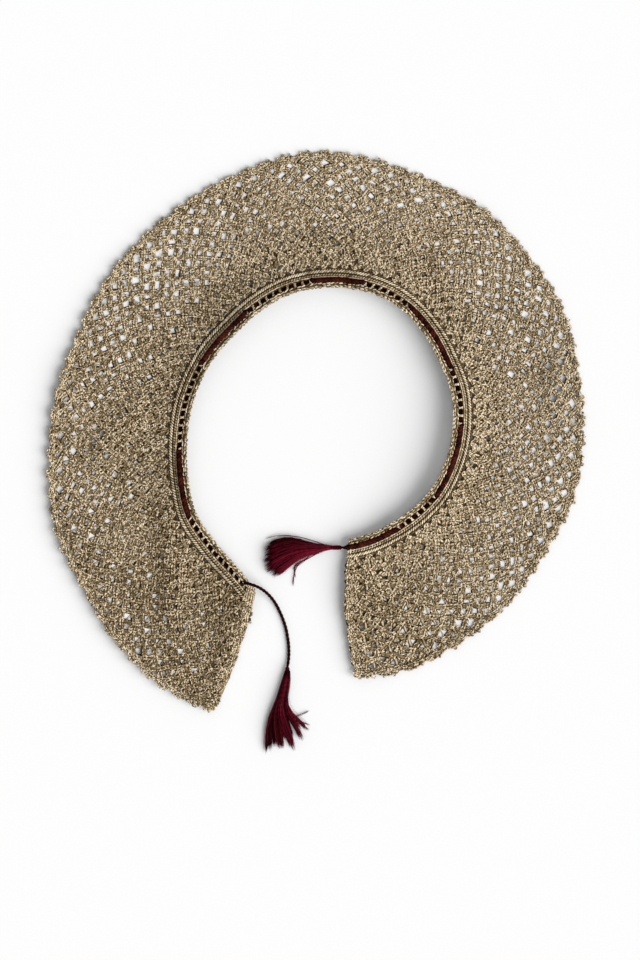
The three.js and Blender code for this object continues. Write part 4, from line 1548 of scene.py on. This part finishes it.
@dataclass
class Tassel:
    """A tassel: a head bound with thread, and a skirt whose fine threads part into ragged clumps."""

    name: str
    node: str
    head: tuple
    edge_a: tuple
    edge_b: tuple
    tips: tuple
    strays: tuple
    seed: int
    tone: float = 0.36
    # painted light: one side of the fan is lighter than the other
    painted_lit_side: float = 0.0
    threads: int = 800
    thread_radius: float = 0.17
    head_radius: float = 1.15
    head_turns: int = 7
    parting: float = 0.5
    flyaways: int = 70
    # the binding thread's width and height
    binding_size: tuple = (0.34, 0.3)
    # share of the head's length, share of its radius: the binding thread, and the threads under it
    binding_profile: tuple = ((0, 0.55), (0.15, 0.95), (0.45, 1.0), (0.8, 0.9), (1, 0.78))
    core_profile: tuple = ((-0.1, 0.3), (0.1, 0.7), (0.5, 0.92), (1.15, 0.8))
    binding_tone: float = 0.15
    last_turns_tone: float = 0.15
    core_threads: int = 36
    core_radius: float = 0.2
    core_tone: float = 0.5
    core_contrast: float = 0.2
    # share of the tassel's length, half height of the skirt there
    skirt_heights: tuple = ((0, 1.1), (0.1, 1.3), (0.35, 1.9), (1, 1.6))
    # share of the tassel's length, height of the skirt's middle there
    skirt_middles: tuple = ((0.15, 2.1), (0.4, 2.3), (1, 1.85))
    lowest: float = 0.25
    # height of the threads' waves, how much of a clump's breadth their tips fill, how far out they reach
    wander: float = 0.22
    clump_fill: float = 0.75
    tip_reach: tuple = (0.8, 1.04)
    # unevenness of lightness: from thread to thread, painted shade from the skirt's upper threads down to
    # its lower ones, and from clump to clump
    contrast: float = 0.3
    layer_shade: float = 0.2
    clump_contrast: float = 0.08
    flyaway_radius: float = 0.07
    strays_each: int = 3

    def build(self) -> YarnMesh:
        """Make the tassel's threads.

        Returns:
            The mesh of all its threads.
        """
        rng = np.random.default_rng(self.seed)
        yarn = YarnMesh(self.name, sides=3)
        self._skirt(yarn, rng)
        self._head(yarn, rng)
        self._strays(yarn, rng)
        return yarn

    def _skirt(self, yarn: YarnMesh, rng: np.random.Generator) -> None:
        """Lay the skirt, whose threads keep their places in the fan, then join a clump's tip.

        Args:
            yarn: The mesh that takes the strands.
            rng: Where the unevenness comes from.
        """
        steps = 9
        edge_a = smooth_curve(np.array(self.edge_a), steps)
        edge_b = smooth_curve(np.array(self.edge_b), steps)
        tips = np.array(self.tips)
        radius = np.sqrt(rng.uniform(0, 1, self.threads))
        angle = rng.uniform(0, 2 * np.pi, self.threads)
        sideways, layer = radius * np.cos(angle), radius * np.sin(angle)
        share = 0.5 + 0.5 * np.sign(sideways) * np.abs(sideways) ** 1.1
        clump = (share * len(tips) + rng.normal(0, 0.25, self.threads)).astype(int)
        clump = np.clip(clump, 0, len(tips) - 1)
        within = share * len(tips) - clump - 0.5
        t = np.linspace(0, 1, steps)
        plan = mix(edge_a[None], edge_b[None], share[:, None, None])
        across = (edge_b[-1] - edge_a[-1]) / len(tips)
        tip = tips[clump] + within[:, None] * across * self.clump_fill
        tip = tip + rng.normal(0, 0.3, (self.threads, 2))
        tip = mix(plan[:, steps // 2 + 1], tip, rng.uniform(*self.tip_reach, (self.threads, 1)))
        parted = np.clip((t - self.parting) / (1 - self.parting), 0, 1)
        parted = (parted ** 2 * (3 - 2 * parted))[None, :, None]
        plan = plan + parted * (tip - plan[:, -1])[:, None, :]
        half_height = np.interp(t, *np.array(self.skirt_heights).T)
        centre = np.interp(t, *np.array(((0, self.head[1][2]), *self.skirt_middles)).T)
        lift = rng.normal(0, 0.5, len(tips))[clump, None] * parted[..., 0]
        z = centre[None, :] + layer[:, None] * half_height[None, :] + lift
        waves = t[None, :] * rng.uniform(3, 9, (self.threads, 1)) + angle[:, None]
        z = z + self.wander * np.sin(waves) * t[None, :]
        line = np.concatenate([plan, np.maximum(z, self.lowest)[..., None]], axis=-1)
        line[:, 1:, :2] += rng.normal(0, 0.14, (self.threads, steps - 1, 2)) * t[None, 1:, None]
        thick = self.thread_radius * rng.uniform(0.8, 1.25, (self.threads, 1))
        # painted shade: threads lower in the skirt are darker
        tone = self.tone + self.contrast * rng.standard_normal(self.threads) + self.layer_shade * layer
        tone = tone + rng.normal(0, self.clump_contrast, len(tips))[clump]
        # painted light on one side of the fan
        tone = tone + self.painted_lit_side * (share - 0.5)
        up = np.tile(np.array([0.0, 0.0, 1.0]), (self.threads, 1))
        yarn.add(line, up, thick, thick, np.clip(tone, -0.3, 1.2), low=0.6, tips=0.1)
        self._flyaways(yarn, line, rng)

    def _flyaways(self, yarn: YarnMesh, line: np.ndarray, rng: np.random.Generator) -> None:
        """Lay fine fibres that stand a little away from the skirt.

        Args:
            yarn: The mesh that takes them.
            line: Lines of the skirt's threads.
            rng: Where the unevenness comes from.
        """
        steps = line.shape[1]
        loose = line[:self.flyaways].copy()
        t = np.linspace(0, 1, steps)[None, :, None]
        middle = line.mean(axis=0, keepdims=True)
        away = loose[:, :, :2] - middle[:, :, :2]
        bend = rng.normal(0, 0.5, (self.flyaways, 1, 1)) * np.sin(np.pi * t)
        loose[:, :, :2] = middle[:, :, :2] + away * (1 + 0.14 * t) + bend
        loose[:, :, 2] = np.maximum(loose[:, :, 2], 0.2)
        up = np.tile(np.array([0.0, 0.0, 1.0]), (self.flyaways, 1))
        tone = rng.uniform(0.6, 1.2, self.flyaways)
        yarn.add(loose, up, self.flyaway_radius, self.flyaway_radius, tone, low=0.2, tips=0.0)

    def _head(self, yarn: YarnMesh, rng: np.random.Generator) -> None:
        """Wind the binding thread round the head, over threads that run along it.

        Args:
            yarn: The mesh that takes the strands.
            rng: Where the unevenness comes from.
        """
        start, end = np.array(self.head[0]), np.array(self.head[1])
        along = unit(end - start)
        side = unit(np.cross(np.array([0.0, 0.0, 1.0]), along))
        up = np.cross(along, side)
        t = np.linspace(0, 1, 24 * self.head_turns)
        profile = np.interp(t, *np.array(self.binding_profile).T) * self.head_radius
        angle = 2 * np.pi * self.head_turns * t
        out = side * np.cos(angle)[:, None] + up * np.sin(angle)[:, None]
        line = start + (end - start) * t[:, None] + out * profile[:, None]
        tone = np.interp(t, [0.72, 0.86], [self.binding_tone, self.last_turns_tone])
        yarn.add(line[None], out[None, 1:-1], *self.binding_size, tone[None, 1:-1], low=0.8)
        angle = 2 * np.pi * np.arange(self.core_threads) / self.core_threads
        ring = np.linspace(self.core_profile[0][0], self.core_profile[-1][0], 6)
        inner = np.interp(ring, *np.array(self.core_profile).T) * self.head_radius
        out = side * np.cos(angle)[:, None] + up * np.sin(angle)[:, None]
        lines = (start + (end - start) * ring[:, None])[None] + out[:, None, :] * inner[None, :, None]
        tone = np.clip(self.core_tone + self.core_contrast * rng.standard_normal(self.core_threads), 0, 1)
        yarn.add(lines, out, self.core_radius, self.core_radius, tone, low=0.6)

    def _strays(self, yarn: YarnMesh, rng: np.random.Generator) -> None:
        """Lay the few threads that have come away from the fan.

        Args:
            yarn: The mesh that takes the strands.
            rng: Where the unevenness comes from.
        """
        thick = self.thread_radius * 0.8
        up = np.array([[0.0, 0.0, 1.0]])
        for points in self.strays:
            line = smooth_curve(np.array(points), 12)
            for _ in range(self.strays_each):
                moved = line + rng.normal(0, 0.18, (1, 3)) + rng.normal(0, 0.05, line.shape)
                moved[:, 2] = np.maximum(moved[:, 2], self.lowest)
                yarn.add(moved[None], up, thick, thick, np.array([rng.uniform(0.3, 0.9)]), low=0.4)


@dataclass
class Studio:
    """The pale floor, the soft lights and the camera straight above."""

    camera_height: float = 2.0
    key_strength: float = 3.5
    key_elevation: float = 38
    key_bearing: float = -30
    key_softness: float = 56
    fill_strength: float = 0.41
    floor_half: float = 4.0
    floor_shade: float = 0.9

    def camera(self, centre: np.ndarray) -> None:
        """Set the camera over the middle of the photo's frame.

        Args:
            centre: Where the neck's centre lies in the part's frame, in millimetres.
        """
        data = bpy.data.cameras.new("camera")
        data.sensor_fit = "VERTICAL"
        data.sensor_height = 36
        view_height = PHOTO_HEIGHT * MM_PER_PIXEL * MM
        data.lens = data.sensor_height * self.camera_height / view_height
        data.clip_end = 20
        camera = bpy.data.objects.new("camera", data)
        x = centre[0] + (PHOTO_WIDTH / 2 - NECK_PIXEL[0]) * MM_PER_PIXEL
        y = centre[1] - (PHOTO_HEIGHT / 2 - NECK_PIXEL[1]) * MM_PER_PIXEL
        camera.location = (x * MM, y * MM, self.camera_height)
        bpy.context.scene.collection.objects.link(camera)
        bpy.context.scene.camera = camera

    def floor(self) -> None:
        """Make the floor: a wide pale sheet."""
        half = self.floor_half
        mesh = bpy.data.meshes.new("floor")
        corners = [(-half, -half, 0), (half, -half, 0), (half, half, 0), (-half, half, 0)]
        mesh.from_pydata(corners, [], [(0, 1, 2, 3)])
        made = bpy.data.objects.new("floor", mesh)
        bpy.context.scene.collection.objects.link(made)
        material = bpy.data.materials.new("floor_paper")
        material.use_nodes = True
        shader = material.node_tree.nodes["Principled BSDF"]
        shade = self.floor_shade
        shader.inputs["Base Color"].default_value = (shade, shade, shade, 1)
        shader.inputs["Roughness"].default_value = 0.9
        shader.inputs["Specular IOR Level"].default_value = 0.1
        mesh.materials.append(material)

    def lights(self) -> None:
        """Set a broad soft key light low on the right, and an even pale surround."""
        data = bpy.data.lights.new("key", "SUN")
        data.energy = self.key_strength
        data.angle = math.radians(self.key_softness)
        key = bpy.data.objects.new("key", data)
        key.rotation_euler = (math.radians(90 - self.key_elevation), 0,
                              math.radians(self.key_bearing + 90))
        bpy.context.scene.collection.objects.link(key)
        world = bpy.data.worlds.new("surround")
        world.use_nodes = True
        background = world.node_tree.nodes["Background"]
        background.inputs["Color"].default_value = (1, 1, 1, 1)
        background.inputs["Strength"].default_value = self.fill_strength
        bpy.context.scene.world = world
        bpy.context.scene.view_settings.view_transform = "Standard"


COTTON = YarnFinish(
    name="ecru_crochet_cotton", deep=(0.045, 0.029, 0.009), middle=(0.2, 0.134, 0.059),
    pale=(0.54, 0.41, 0.242), bright=(0.92, 0.79, 0.58), roughness=0.8, sheen=0.05,
    sheen_tint=(0.95, 0.88, 0.75), specular=0.14, plies=3, ply_turns=2.2, ply_bump=0.5,
    fibre_scale=800, patch_scale=38, speckle=0.9)
CORD_SILK = YarnFinish(
    name="burgundy_cord_silk", deep=(0.001, 0.0001, 0.0001), middle=(0.0035, 0.0002, 0.0001),
    pale=(0.018, 0.0016, 0.0006), bright=(0.07, 0.01, 0.005), roughness=0.6, sheen=0.0,
    sheen_tint=(0.5, 0.2, 0.2), specular=0.045, plies=5, ply_turns=420, ply_bump=0.6,
    fibre_scale=1800, patch_scale=160)
TASSEL_SILK = YarnFinish(
    name="burgundy_tassel_silk", deep=(0.0012, 0.0001, 0.0001), middle=(0.008, 0.0002, 0.0004),
    pale=(0.04, 0.0008, 0.0025), bright=(0.2, 0.008, 0.026), roughness=0.45, sheen=0.0,
    sheen_tint=(0.8, 0.3, 0.45), specular=0.045, plies=1, ply_turns=14, ply_bump=0.25,
    fibre_scale=900, patch_scale=120)

LEFT_TASSEL = Tassel(
    name="tassel_left_threads", node="tassel_left", seed=41, tone=0.2, painted_lit_side=0.6,
    head=((-19.05, -134.6, 1.75), (-19.0, -139.6, 2.0)),
    edge_a=((-20.5, -136.6), (-22.7, -144.1), (-24.3, -149.5), (-26.2, -154.6), (-29.0, -161.0),
            (-30.8, -167.0), (-31.5, -173.0), (-31.9, -179.0)),
    edge_b=((-17.4, -136.6), (-17.6, -144.0), (-18.6, -150.0), (-18.4, -155.0), (-16.8, -160.0),
            (-14.8, -164.6), (-12.8, -169.0), (-11.0, -173.0)),
    tips=((-30.6, -181.8), (-28.6, -180.4), (-26.2, -178.2), (-23.4, -179.6), (-21.6, -179.2),
          (-20.0, -174.6), (-17.2, -178.2), (-15.2, -180.2), (-16.4, -173.0), (-10.8, -174.8),
          (-12.4, -170.4), (-8.4, -169.8)),
    strays=(
        ((-19.0, -155.0, 1.4), (-17.6, -161.6, 1.8), (-13.0, -161.6, 1.0), (-6.9, -158.7, 0.5)),
        ((-19.2, -156.0, 1.6), (-16.4, -163.6, 1.6), (-11.6, -166.2, 0.8), (-6.8, -169.4, 0.4)),
        ((-19.6, -152.0, 2.0), (-16.6, -162.4, 1.8), (-12.2, -164.6, 0.9), (-6.4, -166.6, 0.5)),
    ))
RIGHT_TASSEL = Tassel(
    name="tassel_right_threads", node="tassel_right", seed=43, tone=0.35, painted_lit_side=0.8,
    last_turns_tone=1.1,
    head=((10.9, -68.95, 4.2), (5.4, -69.0, 2.8)),
    edge_a=((6.6, -68.0), (2.0, -67.4), (-3.8, -66.9), (-10.0, -65.0), (-16.8, -63.4), (-23.4, -64.4),
            (-29.4, -67.6)),
    edge_b=((6.6, -69.9), (3.2, -70.4), (-2.6, -71.9), (-7.6, -73.6), (-13.8, -76.6), (-19.4, -80.4),
            (-24.8, -84.2)),
    tips=((-29.8, -67.6), (-31.4, -70.4), (-31.2, -73.4), (-31.8, -76.6), (-31.0, -79.6), (-30.4, -82.2),
          (-27.6, -84.4), (-25.0, -84.2)),
    strays=(
        ((3.0, -68.0, 2.6), (-6.0, -65.0, 3.2), (-14.0, -63.0, 2.4), (-24.0, -62.6, 1.4),
         (-31.0, -64.4, 0.6)),
        ((-2.0, -71.0, 2.2), (-9.0, -75.0, 1.4), (-13.5, -79.0, 0.8), (-15.4, -84.5, 0.4),
         (-15.8, -90.5, 0.4)),
        ((0.0, -71.0, 2.2), (-8.0, -75.6, 1.2), (-14.6, -79.2, 0.6), (-14.2, -86.0, 0.4)),
        ((1.0, -71.0, 2.4), (-6.0, -73.6, 1.4), (-12.0, -78.0, 0.6), (-16.6, -81.0, 0.4)),
    ))


def dress(made: bpy.types.Object, material: bpy.types.Material, slot: str,
          *nodes: str) -> bpy.types.Object:
    """Give a piece its finish, its body and the nodes that it stands for.

    Args:
        made: The piece.
        material: Its material.
        slot: The record's material slot; not used.
        nodes: The frame's nodes that it replaces.

    Returns:
        The same piece.
    """
    made.data.materials.append(material)
    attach(made, BODY)
    if nodes:
        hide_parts(*nodes)
    triangles = sum(len(face.vertices) - 2 for face in made.data.polygons)
    log.info("%s: %d triangles", made.name, triangles)
    return made


def place_form() -> CollarForm:
    """Make the collar's surface and find where it lies in the frame, from the neckband's box.

    Returns:
        The surface, with its centre set.
    """
    form = CollarForm()
    band = Neckband()
    half = band.eyelet_share / 2
    number = np.arange(band.eyelets)
    share = np.sort(np.concatenate([[0, 1], (number + 0.5 - half) / band.eyelets,
                                    (number + 0.5 + half) / band.eyelets]))
    set_back = np.where(np.arange(len(share)) % 2 == 0, band.rim_scallop, 0)
    faces = band.upper_face + tuple((a, 0) for a in band.under_face)
    across = np.stack([a + (set_back if a == 0 else np.zeros_like(share)) for a, _ in faces])
    height = np.array([[h] for _, h in faces])
    form.find_centre("neckband", share[None, :], across, height)
    return form


def main() -> None:
    """Build the studio, the drawstring and its tassels, and then the crochet."""
    form = place_form()
    log.info("neck centre at %s mm, neckline %.1f mm", form.centre.round(3), form.length)
    studio = Studio()
    studio.camera(form.centre)

    cotton, cord_silk, tassel_silk = COTTON.make(), CORD_SILK.make(), TASSEL_SILK.make()
    cord_yarn, line = Drawstring().build(form)
    cord = dress(cord_yarn.build(form.centre), cord_silk, "burgundy_cord", "drawstring")
    tassels = [
        dress(tassel.build().build(form.centre), tassel_silk, "burgundy_silk", tassel.node)
        for tassel in (LEFT_TASSEL, RIGHT_TASSEL)
    ]
    path = (line + form.centre) * MM
    length = float(np.linalg.norm(np.diff(path, axis=0), axis=1).sum())
    log.info("drawstring %.1f mm from tassel to tassel", length / MM)

    net = Net()
    quarters = {sector: net.build(form, sector) for sector in Sector}
    FrontEdges().build(form, quarters[Sector.LEFT_FRONT][1], quarters[Sector.RIGHT_FRONT][1])
    sheets, trims = {}, {}
    for sector, (chains, picots) in quarters.items():
        sheets[sector] = dress(chains.build(form.centre), cotton, "ecru_cotton", "net")
        trims[sector] = [dress(picots.build(form.centre), cotton, "ecru_cotton")]
    band = dress(Neckband().build(form).build(form.centre), cotton, "ecru_cotton", "neckband")
    hem = dress(HemEdging().build(form).build(form.centre), cotton, "ecru_cotton", "hem_edging")
    trims[Sector.LEFT_BACK].append(band)
    trims[Sector.RIGHT_BACK].append(hem)
    for sector, sheet in sheets.items():
        width, length, area = form.flat_size(sector)
        log.info("%s: flat %.3f by %.3f m, %.4f square metres", sheet.name, width, length, area)

    studio.floor()
    studio.lights()


if __name__ == "__main__":
    logging.basicConfig(level=logging.INFO, format="%(message)s", stream=sys.stdout)
    main()
